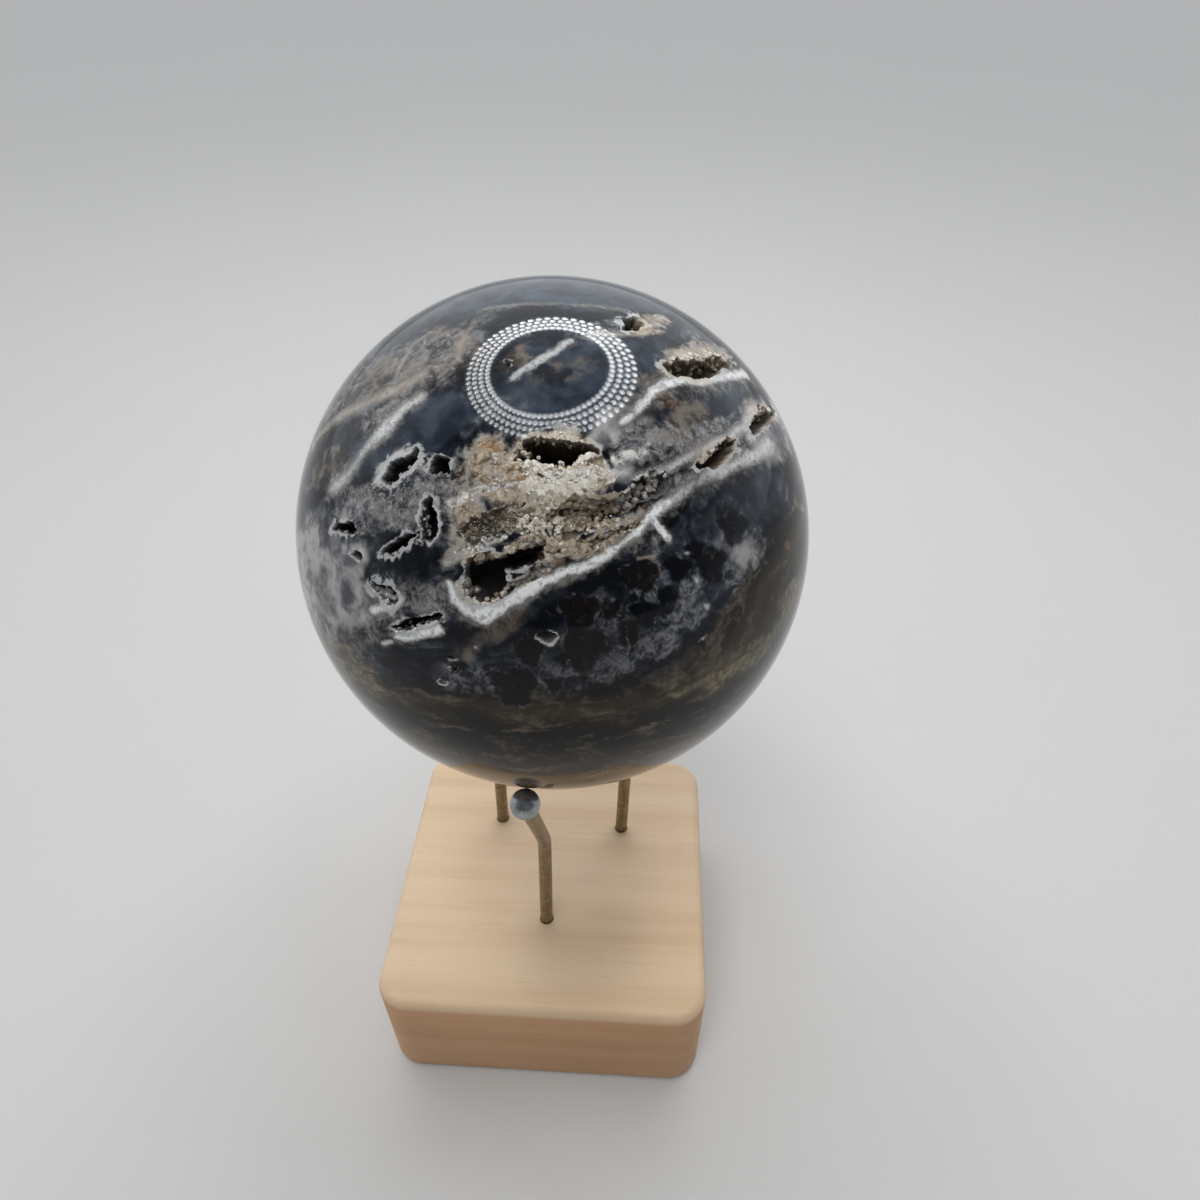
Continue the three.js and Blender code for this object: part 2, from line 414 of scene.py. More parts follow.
@dataclass(frozen=True)
class Chart:
    """A flat chart of the ball: across and up run over its show face, and outwards is square to it.

    A point of the chart lies on the show side where side is 1 and on the hidden side where it is -1.
    """

    radius: float = 30.0
    azimuth: float = 7.0
    elevation: float = 36.0

    @property
    def axes(self) -> np.ndarray:
        """Rows of the directions across, up and outwards."""
        turn, rise = math.radians(self.azimuth), math.radians(self.elevation)
        across = np.array([math.cos(turn), math.sin(turn), 0.0])
        outwards = np.array([math.sin(turn) * math.cos(rise), -math.cos(turn) * math.cos(rise), math.sin(rise)])
        return np.array([across, np.cross(outwards, across), outwards])

    def points(self, across: np.ndarray, up: np.ndarray, side: float) -> np.ndarray:
        """Places chart coordinates on the ball.

        Args:
            across: Coordinates to the right of the show face's middle.
            up: Coordinates above it.
            side: 1 for the show side, -1 for the hidden side.

        Returns:
            Rows of points around the ball's centre.
        """
        outwards = side * np.sqrt(np.maximum(self.radius**2 - across**2 - up**2, 0.0))
        return np.stack([across, up, outwards], axis=-1) @ self.axes


@dataclass(frozen=True)
class Oval:
    """A turned oval on the chart."""

    across: float
    up: float
    half_length: float
    half_width: float
    turn: float = 0.0

    def shares(self, place: np.ndarray) -> tuple[np.ndarray, np.ndarray]:
        """Measures points along and across the oval.

        Args:
            place: Rows of chart coordinates.

        Returns:
            How far along and how far across each lies, as shares of the oval's half sizes.
        """
        turn = math.radians(self.turn)
        a, b = place[:, 0] - self.across, place[:, 1] - self.up
        u = (a * math.cos(turn) + b * math.sin(turn)) / self.half_length
        v = (b * math.cos(turn) - a * math.sin(turn)) / self.half_width
        return u, v


@dataclass(frozen=True)
class Vug(Oval):
    """One cavity, with a mouth shaped like a ragged egg."""

    depth: float = 0.0
    side: int = 1
    rim: float = 0.0

    def read(self, place: np.ndarray, seed: int) -> tuple[np.ndarray, np.ndarray]:
        """Measures points against the mouth.

        Args:
            place: Rows of chart coordinates across, up and outwards.
            seed: The cavity's number, which shapes its outline.

        Returns:
            The share of the way to the mouth's edge, and the distance outside that edge.
        """
        u, v = self.shares(place)
        angle, reach = np.arctan2(v, u), np.hypot(u, v) + 1e-6
        outline = 1.0 + 0.12 * np.sin(3 * angle + 3 * seed) + 0.08 * np.sin(5 * angle + 5 * seed)
        slope = np.hypot(u / self.half_length, v / self.half_width) / reach
        distance = (reach - outline) / slope
        away = place[:, 2] * self.side < 0
        return np.where(away, FAR, reach / outline), np.where(away, FAR, distance)


@dataclass(frozen=True)
class CubicLine:
    """A smooth curve through evenly spaced values."""

    values: np.ndarray

    def at(self, t: np.ndarray) -> np.ndarray:
        """Reads the curve.

        Args:
            t: Places along it, where 1 is the second value.

        Returns:
            The curve's values there.
        """
        start = np.clip(np.floor(t).astype(int), 0, len(self.values) - 2)
        u = t - start
        padded = np.concatenate([self.values[:1], self.values, self.values[-1:]])
        before, low, high, after = (padded[start + k] for k in range(4))
        return low + 0.5 * u * (high - before + u * (2 * before - 5 * low + 4 * high - after
                                                     + u * (3 * (low - high) + after - before)))


@dataclass(frozen=True)
class Seam:
    """A light line in the stone, through points given as across, up and half width."""

    points: tuple[tuple[float, float, float], ...]
    warmth: float = 0.0
    soft: float = 0.45
    strength: float = 0.75
    haze: float = 1.8
    side: int = 1

    def read(self, surface: np.ndarray, chart: Chart) -> np.ndarray:
        """Measures points on the ball against the line.

        Args:
            surface: Rows of points on the ball.
            chart: The ball's chart.

        Returns:
            The distance outside the line's edge, negative inside it.
        """
        row = np.array(self.points)
        if self.side < 0:
            t = np.linspace(0.0, len(row) - 1.0, 4 * len(row) - 3)
            row = np.stack([CubicLine(column).at(t) for column in row.T], axis=1)
        knots = chart.points(row[:, 0], row[:, 1], self.side)
        best = np.full(len(surface), np.inf)
        for start, end, low, high in zip(knots[:-1], knots[1:], row[:-1, 2], row[1:, 2]):
            along = end - start
            t = np.clip((surface - start) @ along / (along @ along), 0.0, 1.0)
            gap = np.linalg.norm(surface - start - t[:, None] * along, axis=1) - (low + t * (high - low))
            best = np.minimum(best, gap)
        return best


@dataclass(frozen=True)
class Patch(Oval):
    """A soft-edged egg of another colour."""

    strength: float = 1.0
    side: int = 1

    def read(self, place: np.ndarray, ripple: np.ndarray) -> np.ndarray:
        """Weighs points by how far inside the patch they lie.

        Args:
            place: Rows of chart coordinates.
            ripple: Noise that frays the edge.

        Returns:
            Weights from 0 to the patch's strength.
        """
        reach = np.hypot(*self.shares(place)) + ripple / max(min(self.half_length, self.half_width), 1.0)
        reach = np.where(place[:, 2] * self.side < 0, FAR, reach)
        return self.strength * smoothstep(1.5, 0.5, reach)


VUGS = (
    Vug(0.2, 7.7, 2.7, 1.4, -4, 7, rim=0.5), Vug(2.9, 7.7, 1.0, 0.5, 5, 3, rim=0.5),
    Vug(-2.3, 7.2, 1.1, 0.4, 15, 2.5, rim=0.5), Vug(-6.6, -3.4, 2.3, 2.3, 0, 3.3, rim=0.3),
    Vug(-3.2, -1.4, 2.8, 1.0, 18, 3, rim=0.25), Vug(2.5, 2.1, 3.9, 1.9, 16, 1.8), Vug(-6.3, 1.6, 2.4, 1.0, 22, 0.9),
    Vug(4.6, 0.0, 2.9, 0.55, 26, 0.9), Vug(-2.4, -3.1, 2.3, 0.6, 24, 1.0), Vug(-1.9, 1.6, 1.2, 1.2, 0, 0.5),
    Vug(-3.7, 1.7, 1.0, 1.0, 0, 0.5), Vug(-6.0, 0.0, 2.6, 0.45, 20, 0.5), Vug(-2.5, -0.1, 1.4, 0.4, 12, 0.5),
    Vug(0.6, -0.8, 1.7, 0.6, 4, 0.8), Vug(7.5, 3.9, 3.3, 1.1, 28, 1.5), Vug(-14.0, 7.0, 2.2, 0.7, 38, 2.5, rim=0.7),
    Vug(-10.1, 6.9, 0.9, 0.8, 0, 2.2, rim=0.3), Vug(-11.4, 2.2, 2.1, 0.8, 86, 3, rim=0.3),
    Vug(-20.0, 1.7, 1.5, 0.6, -10, 2, rim=0.4), Vug(-14.4, -0.1, 1.8, 0.6, 30, 1.8, rim=0.3),
    Vug(-16.2, -4.4, 1.5, 0.8, -42, 1.3, rim=0.6), Vug(-13.2, -7.3, 2.5, 0.6, 12, 2, rim=0.3),
    Vug(8.2, 20.5, 1.1, 0.8, 20, 2, rim=0.6), Vug(14.8, 16.3, 4.0, 1.2, 14, 2.8, rim=0.5),
    Vug(21.5, 11.3, 2.7, 0.8, 32, 2, rim=0.5), Vug(15.5, 7.3, 2.4, 0.8, 32, 2.5, rim=0.4),
    Vug(9, 5, 3, 1.1, -28, 3, side=-1, rim=0.6), Vug(-11, 1, 1.9, 0.8, -40, 2, side=-1, rim=0.5),
    Vug(3, -11, 1.4, 0.8, -15, 1.6, side=-1, rim=0.4),
)

SEAMS = (
    Seam(((-9.9, -3.6, 0.2), (-9.3, -5, 0.4), (-8.2, -6.1, 0.6), (-6.8, -6.5, 0.75), (-5, -5.6, 0.65), (-3, -4.5, 0.55),
          (-1, -3.6, 0.45), (0.6, -3, 0.4), (2.3, -2.5, 0.4), (4, -1.7, 0.35), (6, -0.5, 0.3), (7.5, 0.8, 0.3),
          (8.6, 2, 0.35), (10.2, 3, 0.3)), 0.2, 0.24, 1.0, 1.1),
    Seam(((10.2, 3, 0.3), (12, 4.1, 0.3), (14, 5.2, 0.35), (16, 5.8, 0.35), (17.6, 6.6, 0.4), (19.5, 7.3, 0.6),
          (22, 8.6, 0.9)), 0.3, 0.5, 0.7, 1.8),
    Seam(((8.2, 1.7, 0.3), (9.9, -0.3, 0.28)), 0.0, 0.16, 1.0, 0.5),
    Seam(((-7.6, 4.6, 0.1), (-6.4, 4.8, 0.16), (-5, 4.9, 0.16), (-3.6, 4.8, 0.1)), 0.3, 0.16, 0.9, 0.5),
    Seam(((-7.7, 4.7, 0.05), (-7.6, 6.3, 0.1), (-7.1, 8.1, 0.05)), 0.6, 0.2, 0.6, 0.6),
    Seam(((-9.9, -1.7, 0.25), (-8, -1, 0.2), (-6.3, -0.4, 0.15), (-5, 0.3, 0.1)), 0.4, 0.4, 0.7, 0.8),
    Seam(((7, 4.9, 0.2), (9, 5.6, 0.25), (11, 6.3, 0.3), (13, 7.3, 0.25), (15, 8.3, 0.25), (17.2, 9.2, 0.35),
          (18.8, 10.2, 0.4), (19.8, 11.8, 0.5), (21, 12.5, 0.6)), 0.4, 0.4, 0.6, 1.4),
    Seam(((6.3, 10.2, 0.2), (7.8, 11.3, 0.25), (9.3, 13.1, 0.4), (10.8, 14, 0.4), (12.5, 14.6, 0.35), (14, 14.3, 0.35),
          (16, 14.9, 0.4), (18, 15.6, 0.4), (20.5, 16.4, 0.6)), 0.1, 0.3, 0.85, 2.2),
    Seam(((10.9, 14.9, 0.2), (11.3, 16.4, 0.35), (12.6, 17.3, 0.4), (15, 18, 0.3), (17, 18.8, 0.4)), 0.8, 0.5, 0.6),
    Seam(((3.5, 19, 0.1), (5, 19.2, 0.15), (7, 19.1, 0.12), (9, 19.3, 0.2), (10, 20, 0.25), (10.2, 21.5, 0.2)), 0.8,
         0.3, 0.6, 1.0),
    Seam(((-3.4, 14.6, 0.3), (-1.5, 15.9, 0.4), (0.3, 17.1, 0.4), (2, 18.3, 0.3)), 0.1, 0.22, 0.5, 0.6),
    Seam(((-25, 11, 0.6), (-22, 12.7, 0.5), (-20, 13.3, 0.45), (-17.3, 13.9, 0.45), (-15, 14.6, 0.5), (-13, 15.3, 0.4),
          (-11.9, 16, 0.3)), 0.7, 0.6, 0.6, 2.4),
    Seam(((-21.5, 5.6, 0.3), (-19.6, 6.6, 0.3), (-18.3, 8.5, 0.3), (-16.8, 9.8, 0.5), (-15.3, 11, 0.7),
          (-13.7, 12.7, 0.3), (-12, 13.4, 0.3)), 0.0, 0.6, 0.7, 1.5),
    Seam(((-14.8, 15.5, 0.05), (-14.3, 17.5, 0.1), (-13.2, 19.5, 0.1), (-12, 20.3, 0.05)), 0.6, 0.4, 0.4, 2.0),
    Seam(((-8.4, 17, 0.1), (-8.3, 18.6, 0.4), (-7.7, 20, 0.15), (-7, 21, 0.05)), 0.9, 0.4, 0.5, 1.5),
    Seam(((-16.4, 6.1, 0.3), (-15.2, 7.2, 0.3), (-14.3, 8.2, 0.3), (-13, 8.4, 0.25)), 0.2, 0.3, 0.7, 1.0),
    Seam(((-10.6, 4, 0.1), (-10.4, 2.5, 0.1), (-10.5, 1, 0.1), (-11.4, 0, 0.15)), 0.3, 0.2, 0.8, 0.6),
    Seam(((-17.7, -6, 0.3), (-16.3, -5.8, 0.35), (-15, -5.4, 0.35), (-14.4, -4.9, 0.2)), 0.1, 0.3, 0.9, 0.8),
    Seam(((-15.4, -8.5, 0.35), (-14, -8.7, 0.4), (-12.6, -8.2, 0.4), (-11, -7.8, 0.4)), 0.1, 0.25, 1.0, 0.5),
    Seam(((-17, -9.3, 0.2), (-16, -9.1, 0.2)), 0.1, 0.2, 0.9, 0.5),
    Seam(((-6, 22.6, 0.1), (-2, 22.9, 0.1), (3, 22.6, 0.1), (8, 22.2, 0.1)), 0.6, 0.4, 0.4, 1.2),
    Seam(((7.1, -2, 0.06), (8.7, -1.9, 0.12)), 1.0, 0.16, 0.7, 0.3),
    Seam(((9.1, -2.6, 0.08), (9.2, -3.8, 0.06)), 1.0, 0.16, 0.5, 0.3),
    Seam(((12.4, -4.0, -0.05), (12.7, -4.3, 0.1), (12.8, -4.6, -0.05)), 0.0, 0.2, 0.8, 0.2),
    Seam(((13.3, -6.5, -0.05), (13.7, -6.8, 0.14), (13.8, -7.2, -0.05)), 0.3, 0.2, 0.8, 0.2),
    Seam(((12.9, -10.2, -0.05), (13.4, -9.9, 0.14), (13.8, -9.6, 0.0)), 0.3, 0.2, 0.8, 0.2),
    Seam(((-7.8, -9.2, -0.05), (-7.7, -9.5, 0.08), (-7.6, -9.8, -0.05)), 0.0, 0.2, 0.8, 0.2),
    Seam(((11.2, -1.5, -0.05), (11.6, -1.6, 0.08), (12.0, -1.8, -0.05)), 0.1, 0.2, 0.7, 0.2),
    Seam(((25.2, 2.6, 0.2), (27.2, 1.9, 0.2)), 0.7, 0.3, 0.6, 0.8),
    Seam(((-26, -10, 0.1), (-19, -14, 0.5), (-10, -15, 0.6), (2, -13, 0.4), (12, -7, 0.6), (20, 1, 0.8), (25, 7, 0.2)),
         0.35, 0.5, side=-1),
    Seam(((-24, 5, 0.02), (-17, 3.6, 0.4), (-10, 4, 0.5), (-2, 5.6, 0.4), (6, 5, 0.5), (13, 7.4, 0.4), (18, 13, 0.02)),
         0.2, 0.5, side=-1),
    Seam(((-20, 15, 0.02), (-13, 14.6, 0.3), (-5, 15, 0.4), (2, 17.4, 0.3), (8, 22, 0.02)), 0.5, 0.5, 0.6, side=-1),
)

# Each row of a patch: across, up, half length and half width, then its turn and its strength where they matter.
PATCHES = {
    Mark.STEEL: (
        (-11, 10.8, 4.2, 2.0, 12), (2, 14.5, 6.5, 5.0, 0, 0.8), (17, 12.8, 3.2, 1.9, 25), (9.5, 17, 2.2, 2.6, 0, 0.7),
        (-18.6, 9.0, 2.8, 1.5, 45, 0.8), (20, 3, 4.0, 3.0, 30, 0.5), (14, -4, 6.0, 5.0, 30, 0.5),
        (0, 25.0, 14.0, 2.6, 0, 0.9), (-15.5, 9.6, 2.6, 1.0, 40, 0.8),
    ),
    Mark.PALE: (
        (-24, -3.0, 4.6, 6.0, 10, 0.8), (-20, -1.5, 3.2, 2.0, 20, 1.0), (-18.5, -4.8, 2.6, 1.8, -20, 1.0),
        (23.5, 10.5, 5.0, 3.2, 35), (17.5, -2.0, 3.2, 1.5, -30, 0.5), (5.2, 5.6, 1.8, 1.2, 0, 0.9),
        (5.5, 9.5, 3.2, 1.2, 30, 0.7), (-22, -9.5, 3.5, 2.4, -40, 0.35),
    ),
    Mark.GREY: (
        (-13.5, 4.5, 4.8, 3.0, 20), (-18, -7.5, 4.0, 2.6, 0, 0.5), (-11.5, -5.2, 2.4, 1.3, 0, 0.8),
        (-13, -3.6, 2.2, 0.8, -15, 0.7), (8, 8.5, 3.4, 1.6, 28, 0.9), (12.5, 4.5, 4.5, 1.0, 28, 0.6),
        (-11.5, 16.8, 4.6, 3.0, 35, 0.5), (14, 9.0, 4.5, 1.6, 30, 0.8), (18.5, 9.4, 3.0, 1.6, 30, 0.8),
        (-18, 3.0, 3.0, 3.0, 20, 0.7), (-21, 6.5, 3.0, 1.5, 40, 0.6), (-21, 17, 6.0, 2.2, 40, 0.5),
        (-15.5, 12.8, 3.5, 1.0, 30, 0.7), (6.0, 19.5, 5.0, 1.4, 5, 0.5), (8.5, -0.2, 2.0, 1.2, 30, 0.4),
        (18.2, -3.0, 3.0, 3.0, 30, 0.5),
    ),
    Mark.BROWN: (
        (-11.3, 17.2, 4.4, 3.2, 35, 0.9), (12.3, 10.8, 3.4, 2.2, 25, 0.8), (-22.5, 8, 2.4, 2.0, 30, 0.8),
        (-6.3, 1.8, 2.6, 1.2, 18, 1.0), (-6.5, -8.0, 4.5, 1.0, 30, 0.7), (9.3, 14.2, 1.2, 1.4, 60, 0.9),
        (-2.6, 17.2, 2.2, 1.0, 38, 1.0), (1.5, 15.2, 3.6, 1.6, 10, 0.42), (-17, 15.8, 3.8, 1.6, 30, 0.8),
    ),
    Mark.HAZE: (
        (4, -11, 2.6, 1.6, 20), (8.5, -9.6, 2.4, 1.4, 35), (-0.5, -11.6, 1.6, 1.4, 0), (12.3, -6.2, 2.6, 1.6, 50),
        (4.6, -6.5, 1.3, 2.0, 0, 0.7), (-7.5, -13.2, 4.5, 1.8, -8, 0.7), (9.3, -4.6, 1.4, 1.4, 0, 0.6),
        (17, -7.5, 3.0, 2.0, 40, 0.4), (-23.8, -4.8, 1.6, 2.0, 0, 0.8),
    ),
    Mark.CREAM: (
        (-5.2, 6.2, 2.7, 3.1, 0), (-2.5, 3.3, 2.0, 2.0, 0, 0.8), (0.5, 6.4, 4.4, 3.4, -3),
        (-8.6, 2.8, 1.6, 3.8, 0, 0.7), (-9, -1.5, 1.4, 1.0, 20, 0.7), (0.2, -0.6, 2.2, 1.3, 10, 0.9),
        (4.2, -0.9, 3.4, 0.9, 24, 0.7), (5.4, 0.7, 3.0, 0.8, 28, 0.8), (-2.0, 0.4, 1.8, 0.8, 10, 0.9),
        (-2.4, -3.0, 2.2, 0.6, 24, 0.6), (9.5, 20.6, 2.6, 1.6, 20, 0.8), (15.0, 17.0, 4.8, 1.9, 14, 0.7),
        (21.5, 11.6, 3.2, 1.4, 32, 0.7), (15.5, 7.6, 3.0, 1.3, 32, 0.6), (-3.7, 0.3, 1.9, 0.8, 15, 0.9),
    ),
    Mark.SUGAR: (
        (1.6, 5.7, 4.3, 0.95, -2), (0.2, 1.5, 0.6, 1.0, 10), (-2.2, 1.5, 1.0, 0.9, 0, 0.8), (-5.8, 4.9, 1.9, 0.35, 3),
        (6.5, 7.3, 2.0, 0.8, 20, 0.6), (-9.5, 4.3, 1.4, 0.5, 25, 0.7),
    ),
    Mark.RUST: (
        (-4, 5.5, 1.1, 0.7, 10, 0.8), (-5.3, 8.3, 1.2, 0.6, 20, 0.8), (-4.8, 6.8, 0.5, 0.25, 0, 1.0),
        (-4.6, -7.0, 1.2, 0.25, 28, 0.5), (10, 13.3, 0.9, 1.4, 40, 0.5), (23.4, -1.3, 0.5, 0.5, 0, 0.7),
        (-2.8, 4.6, 0.4, 1.3, 0, 1.0), (-3.6, 7.0, 1.2, 0.5, 30, 0.7), (-0.4, -2.6, 1.3, 0.5, 28, 0.9),
    ),
    Mark.INK: (
        (-12.2, -1.6, 2.6, 1.3, 10), (-9.5, -7.8, 3.2, 1.0, 20, 0.7), (2.0, -4.6, 5.0, 0.9, 24, 0.8),
        (8.0, 3.9, 1.2, 0.5, 30, 0.6), (-1, 21.3, 6.5, 0.9, 3, 0.8), (-6.3, 1.6, 1.6, 0.6, 22, 0.7),
        (1.0, -8.0, 8.0, 4.0, 10, 0.45), (-15.0, -11.5, 5.0, 1.6, -25, 0.6),
    ),
    Mark.OLIVE: (
        (19.5, -12.2, 6.5, 1.2, 38), (24.5, -6.5, 3.0, 1.3, 52, 0.9), (-21.0, -12.0, 4.5, 1.4, -42, 0.75),
        (12.0, -15.4, 4.5, 0.7, 16, 0.5),
    ),
}

HIDDEN_PATCHES = {
    Mark.STEEL: ((4, 20, 8.0, 4.0, 10, 0.8), (-14, 12, 5.0, 5.0, 0, 0.8)),
    Mark.PALE: ((20, -6, 5.0, 6.0, 0, 0.7),),
    Mark.GREY: ((-11, 1, 4.6, 2.4, -40, 0.8), (2, -11, 5.0, 2.5, -15, 0.6)),
    Mark.BROWN: ((-4, 10, 5.0, 3.0, -20, 0.7),),
    Mark.HAZE: ((-14, -8, 5.0, 3.0, -20, 0.7),),
    Mark.CREAM: ((9, 5, 4.4, 2.2, -28, 0.8),),
}

# Each row of an orb: across, up, half length, half width and redness.
ORBS = (
    (16.6, 0.2, 1.5, 1.5, 0.1), (14.2, -2.8, 1.6, 1.8, 0.1), (12.8, -1.5, 1.0, 0.9, 0.0), (9.9, -5.8, 1.1, 1.6, 0.0),
    (7.7, -7.0, 1.3, 1.4, 0.0), (10.8, -3.0, 1.3, 1.2, 0.1), (7.5, -3.5, 1.6, 1.3, 0.6), (1.8, -6.5, 1.8, 1.5, 0.6),
    (1.9, -10.0, 1.7, 2.3, 0.7), (-2.9, -10.0, 1.2, 1.3, 0.3), (6.0, -8.6, 1.0, 1.2, 0.3), (-4.5, -13.5, 2.0, 2.0, 0.2),
    (-0.9, -13.2, 0.8, 0.7, 0.1), (4.5, -6.5, 0.8, 1.0, 0.7),
)

# Each row of a pore: across, up, half length and half width.
PORES = ((-1.4, -8.7, 0.8, 0.6), (-10.3, -10.6, 0.35, 0.22), (-10.1, -11.7, 0.35, 0.22), (-11.3, -13, 0.3, 0.2),
         (-3.8, 16.2, 0.35, 0.3), (-1.2, 5.5, 0.28, 0.18), (-3, 3, 0.14, 0.14), (-19, -0.7, 0.6, 0.4))

CRACKS = (
    Seam(((5.7, -8, 0), (6.2, -9.4, 0), (6.0, -10.8, 0), (6.5, -12.4, 0), (6.4, -14.2, 0))),
    Seam(((16.2, -4.8, 0), (17, -6.6, 0))),
    Seam(((6, -19.4, 0), (8, -18.7, 0.02), (10, -18.4, 0.03), (13, -18.1, 0.03), (16, -17.4, 0.03), (19, -16.3, 0.03),
          (21.5, -14.8, 0.02), (24.5, -12, 0.02))),
)


@dataclass
class StoneBall:
    """The polished ball with its cavities, seams and patches.

    The mesh is finer within cap_reach of the show face's middle, and finer again within mouth_margin of a cavity's
    mouth and seam_margin of a crisp seam. Its layers sag: they lean outwards by layer_tilt, and from the bottom up
    they roll by layer_roll, both in degrees.
    """

    centre: Vector
    chart: Chart = field(default_factory=Chart)
    cap_reach: float = 24.5
    mouth_margin: float = 0.45
    seam_margin: float = 0.2
    pore_depth: float = 0.9
    rim_spread: float = 1.7
    sugar_relief: float = 0.16
    wall_relief: float = 0.32
    layer_roll: float = 30.0
    layer_tilt: float = 20.0
    wobble: Grain = field(default_factory=lambda: Grain(5))

    def warp(self, surface: np.ndarray) -> np.ndarray:
        """Turns points on the ball into chart coordinates with a slight waver.

        Args:
            surface: Rows of points on the ball.

        Returns:
            Rows of coordinates across, up and outwards.
        """
        place = surface @ self.chart.axes.T
        for column, offset in enumerate((0.0, 11.0)):
            broad, fine = (self.wobble.at(surface + offset, size) for size in (1.0, 0.36))
            place[:, column] += 0.26 * broad + 0.13 * fine
        return place

    def relief(self, surface: np.ndarray) -> tuple[np.ndarray, np.ndarray, np.ndarray]:
        """Measures the cavities.

        Args:
            surface: Rows of points on the ball.

        Returns:
            The depth under the polish, the distance outside the nearest mouth, and the weight of the light rims.
        """
        place = self.warp(surface)
        depth, mouth, rim = (np.full(len(surface), value) for value in (0.0, FAR, 0.0))
        for seed, vug in enumerate(VUGS):
            reach, distance = vug.read(place, seed)
            depth = np.maximum(depth, vug.depth * dome(reach))
            mouth = np.minimum(mouth, distance)
            if vug.rim:
                rim = np.maximum(rim, smoothstep(self.rim_spread * vug.rim, 0.0, distance))
        for pore in PORES:
            reach, distance = Vug(*pore).read(place, 0)
            depth = np.maximum(depth, self.pore_depth * dome(reach))
            mouth = np.minimum(mouth, distance)
            rim = np.maximum(rim, 0.9 * smoothstep(0.22, 0.08, np.abs(distance)))
        return depth, mouth, rim

    def sway(
        self, points: np.ndarray, surface: np.ndarray, reach: float, size: float, shifts: Sequence[int] = (2, 5, 8)
    ) -> np.ndarray:
        """Moves points a little, so that what is measured from them comes out uneven.

        Args:
            points: Rows of points on the ball or of their chart coordinates.
            surface: The same points on the ball.
            reach: The longest move along each axis.
            size: The width of one wave.
            shifts: Where the noise of each axis is read.

        Returns:
            Rows of moved points.
        """
        return points + reach * np.stack([self.wobble.at(surface + shift, size) for shift in shifts], axis=1)

    def seams(self, surface: np.ndarray) -> dict[str, np.ndarray]:
        """Measures the light seams.

        Args:
            surface: Rows of points on the ball.

        Returns:
            How far outside the nearest seam's edge each point lies as a share of that edge's softness, that seam's
            warmth and strength, the weight of the haze beside seams, and the distance from the nearest crisp edge.
        """
        best, warmth, glow, halo, crisp = (np.full(len(surface), value) for value in (FAR, 0.0, 0.0, 0.0, FAR))
        surface = self.sway(surface, surface, 0.16, 0.8)
        for seam in SEAMS:
            gap = seam.read(surface, self.chart)
            share = gap / seam.soft
            warmth = np.where(share < best, seam.warmth, warmth)
            glow = np.where(share < best, seam.strength, glow)
            halo = np.maximum(halo, seam.strength * smoothstep(seam.haze, -0.1, gap))
            best = np.minimum(best, share)
            if seam.soft < 0.3:
                crisp = np.minimum(crisp, np.abs(gap))
        return {"seam": best, "warmth": warmth, "glow": glow, "halo": halo, "crisp": crisp}

    def layer(self, place: np.ndarray) -> np.ndarray:
        """The height of a point among the ball's sagging layers."""
        a, b, w = place.T
        roll = math.radians(self.layer_roll) * smoothstep(-16.0, -4.0, b)
        tilt = math.radians(self.layer_tilt)
        return math.cos(tilt) * (b * np.cos(roll) - a * np.sin(roll)) + math.sin(tilt) * w

    def shape(self) -> bmesh.types.BMesh:
        """Makes the ball's mesh, finest where the cavities and seams are.

        Returns:
            The mesh around the origin, in millimetres, still a plain ball.
        """
        bm = bmesh.new()
        bmesh.ops.create_icosphere(bm, subdivisions=7, radius=self.chart.radius)
        for grade in range(2):
            surface = self.read(bm)
            place = surface @ self.chart.axes.T
            wanted = np.hypot(place[:, 0], place[:, 1]) < self.cap_reach
            wanted &= place[:, 2] > 0
            if grade:
                _, mouth, _ = self.relief(surface)
                wanted &= (np.abs(mouth) < self.mouth_margin) | (self.seams(surface)["crisp"] < self.seam_margin)
            edges = [e for e in bm.edges if wanted[e.verts[0].index] and wanted[e.verts[1].index]]
            bmesh.ops.subdivide_edges(bm, edges=edges, cuts=1, use_grid_fill=True)
            bmesh.ops.triangulate(bm, faces=[f for f in bm.faces if len(f.verts) > 3])
            for vert in bm.verts:
                vert.co *= self.chart.radius / vert.co.length
            bm.verts.index_update()
        return bm

    @staticmethod
    def read(bm: bmesh.types.BMesh) -> np.ndarray:
        """The mesh's points as rows."""
        bm.verts.index_update()
        return np.array([vert.co for vert in bm.verts])

    def weights(self, surface: np.ndarray) -> dict[str, np.ndarray]:
        """Reads every map of the stone.

        Args:
            surface: Rows of points on the plain ball.

        Returns:
            A named value for each point.
        """
        place = surface @ self.chart.axes.T
        depth, _, rim = self.relief(surface)
        ripple = 0.35 * self.wobble.layered(surface, 2.4, 3)
        maps = {"depth": depth, "rim": rim, **self.seams(surface)}
        del maps["crisp"]
        drift = self.sway(place, surface, 1.1, 4.2, (1, 5, 9))
        drift = self.sway(drift, surface, 0.5, 1.6, (2, 4, 8))
        for mark in Mark:
            patches = [Patch(*row) for row in PATCHES[mark]]
            patches += [replace(Patch(*row), side=-1) for row in HIDDEN_PATCHES.get(mark, ())]
            maps[mark.value] = np.maximum.reduce([patch.read(drift, ripple) for patch in patches])
        orb, ruddy = np.full(len(surface), FAR), np.zeros(len(surface))
        bent = self.sway(place, surface, 0.3, 1.7, (0, 3, 6))
        for *oval, redness in ORBS:
            _, distance = Vug(*oval).read(bent, 0)
            ruddy = np.where(distance < orb, redness, ruddy)
            orb = np.minimum(orb, distance)
        maps.update(orb=orb, ruddy=ruddy)
        uneven = self.sway(surface, surface, 0.3, 1.0)
        maps["crack"] = np.minimum.reduce([crack.read(uneven, self.chart) for crack in CRACKS])
        maps["layer"] = self.layer(place) + 0.5 * self.wobble.layered(surface, 7.0, 3)
        return maps

